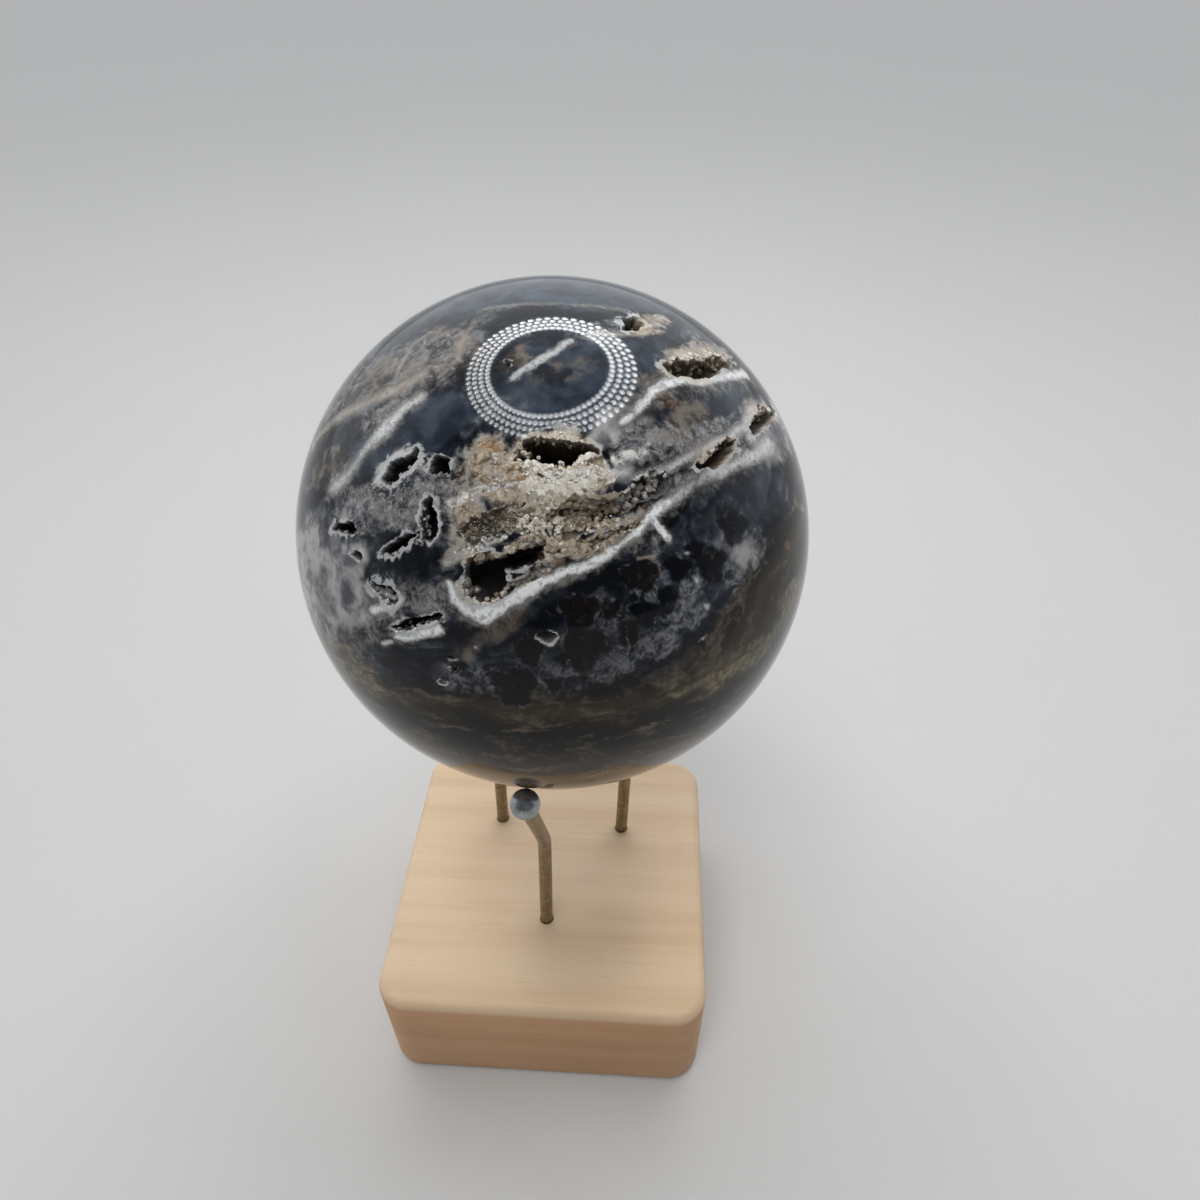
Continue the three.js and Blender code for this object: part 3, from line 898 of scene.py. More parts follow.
    def build(self) -> bpy.types.Object:
        """Shapes the ball and keeps its maps on the mesh."""
        bm = self.shape()
        surface = self.read(bm)
        maps = self.weights(surface)
        crystal = maps["sugar"] + 0.55 * maps["cream"] * smoothstep(0.35, 0.75, maps["cream"])
        pits = 0.5 + 0.5 * self.wobble.at(surface, 0.45)
        inside = smoothstep(0.0, 0.5, maps["depth"])
        lumps = self.wobble.layered(surface, 0.9, 3) * self.wall_relief * inside
        depth = np.clip(maps["depth"] + self.sugar_relief * crystal * pits + lumps, 0.0, None)
        for vert, sink in zip(bm.verts, depth):
            vert.co *= 1.0 - sink / self.chart.radius
        bmesh.ops.translate(bm, vec=self.centre, verts=bm.verts[:])
        piece = to_object("stone_ball", bm, 32.0)
        for name, values in maps.items():
            layer = piece.data.attributes.new(name, "FLOAT", "POINT")
            layer.data.foreach_set("value", values.astype(np.float32))
        dress(piece, StoneFinish(self.chart).build(), ["stone_sphere"])
        return piece


# ---------------------------------------------------------------- finishes


@dataclass(frozen=True)
class StoneMaps:
    """The noises and the mesh's maps that the layers of the stone's colour share."""

    bench: Bench
    bent: Signal
    cloud: Signal
    small: Signal
    fine: Signal
    grit: Signal
    layer: Signal
    streak: Signal
    shade: Signal
    weight: dict[Mark, Signal]

    @classmethod
    def read(cls, b: Bench, chart: Chart) -> "StoneMaps":
        """Wires the noises, from broad to fine, and reads the maps.

        Args:
            b: The material being wired.
            chart: The ball's chart.

        Returns:
            What the layers read.
        """
        place = b.place()
        swirl = b.node("ShaderNodeTexNoise", None, {"Vector": place, "Scale": 0.35, "Detail": 2.0}, "Color")
        bent = b.vector("ADD", place, b.vector("SCALE", b.vector("SUBTRACT", swirl, (0.5, 0.5, 0.5)), scale=2.2))
        cloud = b.noise(bent, 0.38, 4.0, 0.5)
        small = b.noise(bent, 1.15, 4.0, 0.56)
        fine = b.noise(place, 3.4, 4.0, 0.62)
        layer = b.attribute("layer")
        across, outwards = (b.vector("DOT_PRODUCT", place, tuple(chart.axes[k])) for k in (0, 2))
        drawn_out = {0: layer + (cloud - 0.5) * 3.0, 1: across * 0.22, 2: outwards * 0.22}
        streak = b.noise(b.node("ShaderNodeCombineXYZ", None, drawn_out), 0.7, 6.0, 0.56)
        shade = ((streak - 0.5) * 0.7 + (small - 0.5) * 0.9 + (fine - 0.5) * 0.5 + 0.5).ramp(0.30, 0.72)
        weight = {mark: b.attribute(mark.value) for mark in Mark}
        return cls(b, bent, cloud, small, fine, b.noise(place, 8.0, 2.0, 0.6), layer, streak, shade, weight)

    def over(
        self, below: Signal, tone: Any, amount: Signal, noise: Signal, wild: float = 1.2, most: float = 0.95
    ) -> Signal:
        """Lays a tone where its amount is high.

        Args:
            below: The colour under it.
            tone: The tone.
            amount: How much of it there is, from 0 to 1.
            noise: The noise that frays its edge.
            wild: How far the noise frays it.
            most: How much of it shows where it is thickest.

        Returns:
            The colour with it.
        """
        share = (amount + (noise - 0.5) * wild).ramp(0.12, 0.85) * amount.ramp(0.0, 0.3)
        return self.bench.mix(below, tone, share * most)


@dataclass(frozen=True)
class StoneFinish:
    """Dark agate-like stone with white seams, brown layers and sugary crystal patches, polished."""

    chart: Chart
    night: Colour = (0.003, 0.004, 0.006)
    slate: Colour = (0.027, 0.032, 0.040)
    milk: Colour = (0.86, 0.88, 0.90)
    shell: Colour = (0.47, 0.385, 0.28)
    honey: Colour = (0.15, 0.112, 0.073)
    rust: Colour = (0.30, 0.16, 0.07)
    rim: Colour = (0.48, 0.49, 0.50)
    steel: Pair = ((0.012, 0.017, 0.027), (0.043, 0.057, 0.080))
    brown: Pair = ((0.028, 0.024, 0.022), (0.145, 0.124, 0.106))
    grey: Pair = ((0.026, 0.029, 0.035), (0.30, 0.305, 0.315))
    pale: Pair = ((0.10, 0.105, 0.12), (0.41, 0.41, 0.41))
    haze: Pair = ((0.026, 0.028, 0.034), (0.24, 0.247, 0.262))
    olive: Pair = ((0.045, 0.037, 0.023), (0.25, 0.21, 0.13))
    sugar: Pair = ((0.34, 0.325, 0.295), (0.70, 0.69, 0.66))
    veil: Pair = ((0.045, 0.043, 0.042), (0.24, 0.225, 0.21))
    orb: Pair = ((0.0022, 0.0025, 0.0035), (0.010, 0.0066, 0.006))
    near_wall: Pair = ((0.12, 0.12, 0.125), (0.33, 0.28, 0.22))
    # painted shade: the walls turn to this darker pair deeper in the cavities
    deep_wall_shade: Pair = ((0.012, 0.012, 0.013), (0.085, 0.067, 0.050))
    layers: Stops = (
        (0.0, (0.060, 0.038, 0.024)), (0.10, (0.020, 0.013, 0.009)), (0.20, (0.105, 0.067, 0.040)),
        (0.32, (0.11, 0.070, 0.042)), (0.42, (0.055, 0.037, 0.024)), (0.53, (0.028, 0.019, 0.013)),
        (0.60, (0.0035, 0.002, 0.0015)), (0.70, (0.003, 0.002, 0.0015)), (0.75, (0.011, 0.0075, 0.005)),
        (0.83, (0.040, 0.032, 0.018)), (0.89, (0.010, 0.008, 0.006)), (1.0, (0.003, 0.004, 0.006)),
    )

    def build(self) -> bpy.types.Material:
        """Wires the finish.

        Returns:
            The material.
        """
        b = Bench("polished_banded_stone")
        m = StoneMaps.read(b, self.chart)
        small, fine, weight = m.small, m.fine, m.weight
        cells = b.cells(m.bent, 3.1)
        creamy = (weight[Mark.CREAM] + (small - 0.5) + (m.grit - 0.5) * 0.4).ramp(0.25, 0.75)
        sugary = (creamy * 0.35 + weight[Mark.SUGAR]).ramp(0.1, 0.9)
        edge = b.attribute("seam") + (small - 0.5) * 4.0 + (fine - 0.5) * 3.0 + (m.cloud - 0.5) * 2.0
        line, glow = edge.ramp(0.9, -1.1), b.attribute("glow")
        hollow = b.attribute("depth").ramp(0.06, 0.35)

        colour = self.bands(m, self.patches(m, self.ground(m)))
        olive = b.mix(*self.olive, m.shade)
        colour = m.over(colour, olive, weight[Mark.OLIVE], m.streak, 1.4, 0.85)
        colour = self.crystals(m, colour, cells, creamy)
        colour = m.over(colour, self.night, weight[Mark.INK], small, 1.6, 0.93)
        colour = self.lines(m, self.orbs(m, colour), line, glow)
        # the cavities take the wall colour, which carries painted shade that deepens with depth
        colour = b.mix(colour, self.walls(m), hollow)

        rough = 0.045 + sugary * (0.2 + small * 0.3) + hollow * 0.4 + line * glow * 0.12 + fine * 0.02
        height = fine * 0.5 + cells * -0.5 + m.grit * 0.3
        rise = b.bump(height * (sugary * 0.9 + hollow + line * glow * 0.25).math("MINIMUM", 1.0), 0.8, 0.2)
        return b.finish(base_color=colour, roughness=rough, normal=rise, specular_ior_level=0.22, ior=1.5)

    def ground(self, m: StoneMaps) -> Signal:
        """The clouded dark ground of the stone, with a few light specks."""
        tone = (m.streak - 0.5) * 1.2 + (m.cloud - 0.5) + (m.small - 0.5) * 0.6 + 0.5
        stops = ((0.30, self.night), (0.47, (0.009, 0.012, 0.018)), (0.62, self.slate), (0.76, (0.074, 0.082, 0.096)),
                 (0.92, (0.20, 0.20, 0.21)))
        specks = (m.fine + m.grit * 0.4 + m.cloud * 0.3).ramp(1.03, 1.12)
        return m.bench.mix(m.bench.ramp(stops, tone), (0.22, 0.22, 0.23), specks * 0.45)

    def patches(self, m: StoneMaps, colour: Signal) -> Signal:
        """Lays the steel, brown, grey, pale and hazy patches.

        Args:
            m: The shared maps.
            colour: The colour under them.

        Returns:
            The colour with them.
        """
        b, cloud, small, fine, weight = m.bench, m.cloud, m.small, m.fine, m.weight
        colour = b.mix(colour, b.mix(*self.steel, cloud.ramp(0.34, 0.68)), weight[Mark.STEEL].ramp(0.1, 0.7) * 0.92)
        lumps = ((cloud - 0.5) * 1.6 + (small - 0.5) * 0.7 + (fine - 0.5) * 0.3 + 0.5).ramp(0.28, 0.74)
        colour = m.over(colour, b.mix(*self.brown, lumps), weight[Mark.BROWN], small)
        grey = b.mix(*self.grey, lumps * 0.55 + m.shade * 0.45)
        grey = b.mix(grey, (0.115, 0.098, 0.085), cloud.ramp(0.46, 0.62) * 0.5)
        grey = b.mix(grey, (0.42, 0.41, 0.39), (fine * 0.7 + m.grit * 0.5).ramp(0.64, 0.74) * 0.6)
        colour = m.over(colour, grey, weight[Mark.GREY], small)
        pale = b.mix(*self.pale, ((cloud - 0.5) * 1.4 + (small - 0.5) * 0.4 + 0.52).ramp(0.3, 0.7))
        colour = m.over(colour, pale, weight[Mark.PALE], cloud, 1.0, 0.9)
        haze = b.mix(*self.haze, (fine * 0.4 + small * 0.6).ramp(0.38, 0.66))
        return m.over(colour, haze, weight[Mark.HAZE] * 0.85, small, 1.7, 0.85)

    def bands(self, m: StoneMaps, colour: Signal) -> Signal:
        """Lays the brown and black layers of the ball's lower part.

        Args:
            m: The shared maps.
            colour: The colour above them.

        Returns:
            The colour with them.
        """
        b, small, streak = m.bench, m.small, m.streak
        along = (m.layer + (streak - 0.5) * 2.4 + (small - 0.5) * 0.5 + 28.0) / 26.0
        band = b.ramp(self.layers, along)
        lights = (streak * 0.75 + small * 0.2 + m.fine * 0.05).ramp(0.48, 0.68)
        band = b.mix(band, b.mix(band, (0.36, 0.28, 0.20), 0.36), lights * 0.85)
        band = b.mix(band, (0.004, 0.004, 0.005), (small * 0.2 + streak * 0.8).ramp(0.47, 0.32) * 0.75)
        return b.mix(colour, band, (m.layer + (small - 0.5) * 3.0).ramp(-2.4, -4.8))

    def crystals(self, m: StoneMaps, colour: Signal, cells: Signal, creamy: Signal) -> Signal:
        """Lays the tan and sugary crystal patches and their rust stains.

        Args:
            m: The shared maps.
            colour: The colour under them.
            cells: The distance to the middle of the nearest crystal.
            creamy: How much of the tan patches shows.

        Returns:
            The colour with them.
        """
        b, cloud, small, fine, weight = m.bench, m.cloud, m.small, m.fine, m.weight
        tint = b.node("ShaderNodeSeparateColor", None, {0: b.cells(m.bent, 3.1, "Color")}, "Red")
        cream = b.mix(self.honey, self.shell, (cells * -0.6 + small + tint * 0.25).ramp(0.0, 0.6))
        cream = b.mix(cream, (0.34, 0.335, 0.32), (cloud * 0.8 + small * 0.4).ramp(0.52, 0.72) * 0.9)
        cream = b.mix(cream, (0.07, 0.058, 0.046), (small * 0.9 + fine * 0.2).ramp(0.52, 0.40) * 0.7)
        colour = b.mix(colour, cream, creamy * 0.95)
        sugar = b.mix(*self.sugar, (tint * 0.4 + small * 0.9).ramp(0.25, 0.8))
        colour = m.over(colour, sugar, weight[Mark.SUGAR], small, 1.8)
        return m.over(colour, self.rust, weight[Mark.RUST] * 0.8, small * 0.5 + fine * 0.5, 2.0, 0.6)

    def orbs(self, m: StoneMaps, colour: Signal) -> Signal:
        """Lays the dark round inclusions with their broken light outlines.

        Args:
            m: The shared maps.
            colour: The colour under them.

        Returns:
            The colour with them.
        """
        b, small, fine = m.bench, m.small, m.fine
        gap = b.attribute("orb") + (small - 0.5) * 0.6
        body = b.mix(*self.orb, b.attribute("ruddy"))
        body = b.mix(body, (0.035, 0.036, 0.040), (small * 0.6 + fine * 0.5).ramp(0.6, 0.75) * 0.5)
        ring = (gap - 0.22).math("ABSOLUTE").ramp(0.3, 0.0) * (small * 0.5 + fine * 0.5).ramp(0.46, 0.66)
        colour = b.mix(colour, body, gap.ramp(0.3, -0.3) * 0.95)
        return b.mix(colour, (0.20, 0.205, 0.215), ring * 0.5)

    def lines(self, m: StoneMaps, colour: Signal, line: Signal, glow: Signal) -> Signal:
        """Lays the seams with the haze beside them, the rims of the cavities and the cracks.

        Args:
            m: The shared maps.
            colour: The colour under them.
            line: The weight of the seams.
            glow: Their strength.

        Returns:
            The colour with them.
        """
        b, cloud, small, fine = m.bench, m.cloud, m.small, m.fine
        near = (b.attribute("halo") * 1.1 + (small - 0.5) * 1.4).ramp(0.1, 1.1)
        colour = b.mix(colour, b.mix(*self.veil, m.shade), near * 0.75)
        milk = b.mix(self.milk, self.shell, (b.attribute("warmth") + (cloud - 0.5) * 1.2).ramp(0.2, 0.9))
        milk = b.mix(milk, b.mix(milk, (0.13, 0.13, 0.135), 0.8), (small * 0.8 + fine * 0.4).ramp(0.62, 0.46) * 0.7)
        colour = b.mix(colour, milk, line * (glow * 0.95))
        rim = b.attribute("rim")
        lip = rim * 1.1 + (small - 0.5) * 2.8 + (fine - 0.5) * 2.0 + (cloud - 0.5) * 3.0
        lip = lip.ramp(0.3, 0.9) * rim.ramp(0.02, 0.3)
        colour = b.mix(colour, b.mix(self.rim, self.shell, m.weight[Mark.CREAM]), lip * 0.8)
        crack = (b.attribute("crack") + (fine - 0.5) * 0.14).ramp(0.13, 0.02)
        return b.mix(colour, (0.26, 0.245, 0.22), crack * 0.55)

    def walls(self, m: StoneMaps) -> Signal:
        """The colour of the cavities' walls, with painted shade that darkens them with depth to near black, and lighter
        on broken edges.
        """
        b, depth, small = m.bench, m.bench.attribute("depth"), m.small
        warm, shade_depth = m.weight[Mark.CREAM].ramp(0.1, 0.6), depth + (small - 0.5) * 1.5
        # painted shade: the walls darken with depth and turn near black below about 3 mm
        wall = b.mix(b.mix(*self.near_wall, warm), b.mix(*self.deep_wall_shade, warm), shade_depth.ramp(0.15, 1.0))
        wall = b.mix(wall, (0.006, 0.005, 0.004), shade_depth.ramp(3.2, 5.4))
        chips = (small * 0.5 + m.fine * 0.5).ramp(0.5, 0.66) * (1.0 - depth.ramp(0.3, 1.6))
        return b.mix(wall, (0.42, 0.40, 0.37), chips * 0.6)


@dataclass(frozen=True)
class CrystalFinish:
    """Glassy tan to milky crystals, each with its own tint, darker the deeper it sits as painted shade."""

    smoke: Colour = (0.07, 0.058, 0.045)
    amber: Colour = (0.33, 0.275, 0.205)
    milk: Colour = (0.68, 0.66, 0.61)
    cool: Pair = ((0.05, 0.053, 0.06), (0.60, 0.61, 0.62))

    def build(self) -> bpy.types.Material:
        """Wires the finish.

        Returns:
            The material.
        """
        b = Bench("quartz_crystals")
        place = b.place()
        fine = b.noise(place, 4.0, 2.0)
        # the mesh's tint includes painted shade, lower for crystals deep in the cavities
        tint = b.attribute("tint") + (fine - 0.5) * 0.3
        warm = b.ramp(((0.0, self.smoke), (0.5, self.amber), (1.0, self.milk)), tint)
        colour = b.mix(warm, b.mix(*self.cool, tint), b.attribute("cool"))
        rise = b.bump(b.noise(place, 6.0, 2.0), 0.5, 0.05)
        return b.finish(base_color=colour, roughness=0.16 + fine * 0.25, normal=rise, ior=1.5)


@dataclass(frozen=True)
class WoodFinish:
    """Pale oiled beech with fine pores along the grain; its sides below the top are darker and warmer, a painted shade.
    """

    top: float  # the height of the block's top, over which nothing of the side shows
    pale: Colour = (0.66, 0.505, 0.345)
    ripe: Colour = (0.56, 0.40, 0.255)
    pore: Colour = (0.33, 0.22, 0.12)
    # painted shade: the sides below the top are multiplied darker and warmer by this colour
    side: Colour = (0.93, 0.72, 0.57)

    def build(self) -> bpy.types.Material:
        """Wires the finish.

        Returns:
            The material.
        """
        b = Bench("oiled_beech")
        place = b.place()
        drift = b.noise(place, 0.03, 2.0)
        along = b.vector("MULTIPLY", place, (0.035, 1.0, 0.6))
        swirl = b.noise(along, 0.22, 4.0, 0.55)
        lines = b.noise(along, 1.6, 3.0, 0.6)
        pores = b.noise(b.vector("MULTIPLY", place, (0.16, 1.9, 1.9)), 1.5, 2.0, 0.5)
        colour = b.mix(self.pale, self.ripe, (swirl * 0.8 + drift * 0.4).ramp(0.42, 0.82))
        colour = b.mix(colour, self.pore, lines.ramp(0.56, 0.8) * 0.16)
        colour = b.mix(colour, self.pore, pores.ramp(0.64, 0.76) * 0.2)
        height = b.vector("DOT_PRODUCT", place, (0.0, 0.0, 1.0))
        # painted shade: darkens and warms the faces below the top edge
        colour = b.mix(colour, self.side, (self.top - height + lines * 0.3).ramp(0.7, 1.7), "MULTIPLY")
        rise = b.bump(lines * 0.5 + pores * 0.5, 0.25, 0.05)
        return b.finish(base_color=colour, roughness=0.5 + lines * 0.15, normal=rise, ior=1.45)


@dataclass(frozen=True)
class WireFinish:
    """Drawn brass gone an even olive brown, a little lighter where it is rubbed."""

    bright: Colour = (0.38, 0.30, 0.185)
    dull: Colour = (0.225, 0.172, 0.108)

    def build(self) -> bpy.types.Material:
        """Wires the finish.

        Returns:
            The material.
        """
        b = Bench("aged_brass_wire")
        place = b.place()
        cloud = b.noise(place, 0.9, 4.0, 0.6)
        drawn = b.noise(b.vector("MULTIPLY", place, (2.0, 2.0, 0.15)), 2.5, 2.0)
        colour = b.mix(self.dull, self.bright, (cloud * 0.8 + drawn * 0.4).ramp(0.45, 0.8))
        rise = b.bump(drawn, 0.15, 0.02)
        return b.finish(base_color=colour, roughness=0.36 + cloud * 0.14, metallic=0.8, normal=rise)


@dataclass(frozen=True)
class TipFinish:
    """Blue-grey plated metal, a little uneven."""

    dark: Colour = (0.29, 0.315, 0.325)
    light: Colour = (0.48, 0.51, 0.52)

    def build(self) -> bpy.types.Material:
        """Wires the finish.

        Returns:
            The material.
        """
        b = Bench("plated_tip")
        place = b.place()
        cloud = b.noise(place, 1.4, 4.0, 0.65)
        fine = b.noise(place, 6.0, 2.0)
        colour = b.mix(self.dark, self.light, (cloud + fine * 0.2).ramp(0.5, 0.8))
        rise = b.bump(fine, 0.15, 0.02)
        return b.finish(base_color=colour, roughness=0.2 + cloud * 0.12, metallic=0.8, normal=rise)


@dataclass(frozen=True)
class FloorFinish:
    """Plain pale paper."""

    paper: Colour = (0.54, 0.54, 0.538)

    def build(self) -> bpy.types.Material:
        """Wires the finish.

        Returns:
            The material.
        """
        b = Bench("pale_floor")
        tone = b.noise(b.place(), 0.01, 2.0)
        colour = b.mix(self.paper, tuple(0.97 * c for c in self.paper), tone)
        return b.finish(base_color=colour, roughness=0.8)


# ---------------------------------------------------------------- crystals in the cavities


@dataclass(frozen=True)
class Growth:
    """One patch of crystals, scattered about a line given as across and up."""

    line: tuple[tuple[float, float], ...]
    spread: float
    count: int
    sizes: tuple[float, float]
    tint: float
    pointed: bool = False
    round: bool = False
    lift: float = 0.2
    cool: float = 0.0
    side: int = 1


GROWTHS = (
    Growth(((-3.0, 7.2), (-1.9, 6.6), (-0.6, 6.4), (0.6, 6.7), (2.0, 6.5), (2.6, 7.1), (3.6, 7.4)),
           0.16, 70, (0.16, 0.32), 0.95),
    Growth(((-2.6, 7.7), (-1.4, 8.9), (0.0, 9.3), (1.3, 8.9), (2.4, 8.4), (3.6, 8.3)), 0.2, 90, (0.1, 0.2), 0.6),
    Growth(((-8.4, 0.8), (-6.6, 1.4), (-5.0, 2.0), (-3.9, 2.5)), 0.5, 280, (0.1, 0.24), 0.14, lift=0.6),
    Growth(((-8.2, 2.4), (-7.0, 2.8), (-5.6, 3.3), (-4.4, 3.4)), 0.3, 90, (0.1, 0.2), 0.5, lift=0.5),
    Growth(((-9.0, -1.2), (-7.6, -0.6), (-6.0, 0.0), (-4.4, 0.5)), 0.22, 150, (0.1, 0.22), 0.75, lift=0.5, cool=0.4),
    Growth(((-2.6, 4.7), (-1.0, 4.5), (0.6, 4.3), (2.2, 4.3), (3.8, 4.5), (5.4, 5.0)), 0.28, 60, (0.3, 0.5),
           0.85, round=True, lift=0.5),
    Growth(((-2.0, 5.6), (0.0, 5.6), (2.4, 5.6), (4.6, 5.6)), 0.5, 190, (0.1, 0.2), 0.85, lift=0.6),
    Growth(((-1.4, 3.7), (0.6, 3.5), (2.6, 3.4), (4.6, 3.8), (6.0, 4.1)), 0.4, 70, (0.3, 0.55),
           0.5, round=True, lift=0.3),
    Growth(((0.0, 2.8), (1.4, 2.5), (2.8, 2.4), (4.4, 2.8), (5.6, 3.1)), 0.55, 110, (0.16, 0.38), 0.4, lift=0.2),
    Growth(((-1.8, 1.9), (-0.4, 1.6), (0.8, 1.4), (2.4, 1.2), (4.0, 1.2), (5.6, 1.6)), 0.5, 180, (0.14, 0.34),
           0.6, lift=0.3),
    Growth(((-3.0, 2.0), (-2.6, 1.2), (-1.8, 0.8), (-1.2, 2.6)), 0.45, 120, (0.12, 0.26), 0.8, lift=0.5),
    Growth(((-8.4, 3.4), (-6.5, 4.4), (-4.6, 4.2), (-3.6, 5.8), (-5.2, 7.2)), 0.7, 150, (0.1, 0.22), 0.6, lift=0.35),
    Growth(((-4.4, 1.2), (-3.6, 1.8), (-3.3, 2.6)), 0.4, 110, (0.1, 0.22), 0.35, lift=0.6),
    Growth(((-3.8, -0.4), (-2.4, 0.0), (-1.2, 0.3)), 0.25, 90, (0.1, 0.24), 0.45, lift=0.5),
    Growth(((0.1, 2.0), (0.4, 1.2), (0.1, 0.6)), 0.2, 16, (0.3, 0.42), 1.0, pointed=True, lift=0.7),
    Growth(((-1.0, -0.2), (0.2, -0.9), (1.2, -0.8), (2.0, -1.0)), 0.32, 50, (0.24, 0.46), 0.5, round=True, lift=0.5),
    Growth(((2.0, -1.2), (3.4, -0.6), (5.0, 0.2), (6.6, 1.0), (7.2, 1.4)), 0.3, 170, (0.12, 0.3), 0.5, lift=0.5),
    Growth(((-8.3, -2.1), (-7.0, -1.4), (-5.0, -0.9), (-3.0, -0.4), (-1.4, -0.1)), 0.2, 70, (0.18, 0.36), 0.6),
    Growth(((-4.4, -3.8), (-3.6, -3.4), (-2.4, -3.0), (-1.0, -2.5), (0.4, -2.2)), 0.32, 110, (0.18, 0.42),
           0.42, lift=0.5, cool=0.5),
    Growth(((-8.7, -4.6), (-8.0, -5.3), (-6.8, -5.7), (-5.6, -5.3), (-4.7, -4.3), (-4.2, -3.6)),
           0.15, 64, (0.16, 0.34), 0.75),
    Growth(((-8.9, -2.4), (-9.1, -3.3), (-8.9, -4.4), (-8.3, -5.2)), 0.3, 44, (0.3, 0.62), 0.55, round=True, cool=0.5),
    Growth(((-8.0, -1.8), (-6.2, -1.3), (-4.4, -0.8)), 0.3, 36, (0.26, 0.5), 0.55, lift=0.2),
    Growth(((5.2, 2.9), (7.0, 4.0), (9.6, 5.0)), 0.45, 40, (0.22, 0.5), 0.5, cool=0.5),
    Growth(((5.6, 4.7), (7.4, 5.2), (9.8, 6.2)), 0.35, 40, (0.2, 0.42), 0.75, lift=0.4, cool=0.7),
    Growth(((-16.0, 5.7), (-14.6, 6.2), (-13.2, 7.2), (-12.4, 8.0)), 0.16, 44, (0.14, 0.3), 0.6, cool=0.9),
    Growth(((-10.8, 6.4), (-10.0, 6.2), (-9.4, 6.8)), 0.12, 14, (0.12, 0.26), 0.5, cool=0.8),
    Growth(((-12.1, 0.6), (-12.2, 2.0), (-12.0, 3.6)), 0.14, 26, (0.14, 0.28), 0.5, cool=0.9),
    Growth(((-21.2, 1.5), (-20.0, 1.2), (-18.8, 1.2)), 0.14, 20, (0.14, 0.26), 0.55, cool=0.8),
    Growth(((-15.8, -1.1), (-14.4, -0.6), (-13.2, 0.2)), 0.14, 26, (0.14, 0.3), 0.55, cool=0.9),
    Growth(((-17.2, -3.9), (-16.6, -4.7), (-15.4, -5.2)), 0.22, 26, (0.18, 0.4), 0.8, cool=0.9),
    Growth(((-15.4, -8.0), (-13.6, -7.9), (-11.2, -7.2)), 0.14, 40, (0.14, 0.32), 0.9, cool=1.0),
    Growth(((11.8, 16.2), (13.4, 17.2), (15.4, 17.7), (17.8, 17.8)), 0.3, 80, (0.2, 0.42), 0.72),
    Growth(((19.6, 10.6), (21.0, 11.9), (23.2, 12.7)), 0.25, 50, (0.2, 0.36), 0.7),
    Growth(((13.6, 6.7), (15.2, 8.0), (17.3, 8.8)), 0.25, 60, (0.18, 0.36), 0.62),
    Growth(((7.4, 20.4), (8.4, 20.9), (9.2, 20.8)), 0.3, 16, (0.16, 0.28), 0.6),
    Growth(((6.6, 6.2), (9.0, 3.9), (11.4, 3.2)), 0.35, 50, (0.25, 0.5), 0.6, side=-1),
    Growth(((-12.2, 2.2), (-11.0, 1.0), (-9.8, 0.0)), 0.3, 24, (0.2, 0.4), 0.6, side=-1),
)


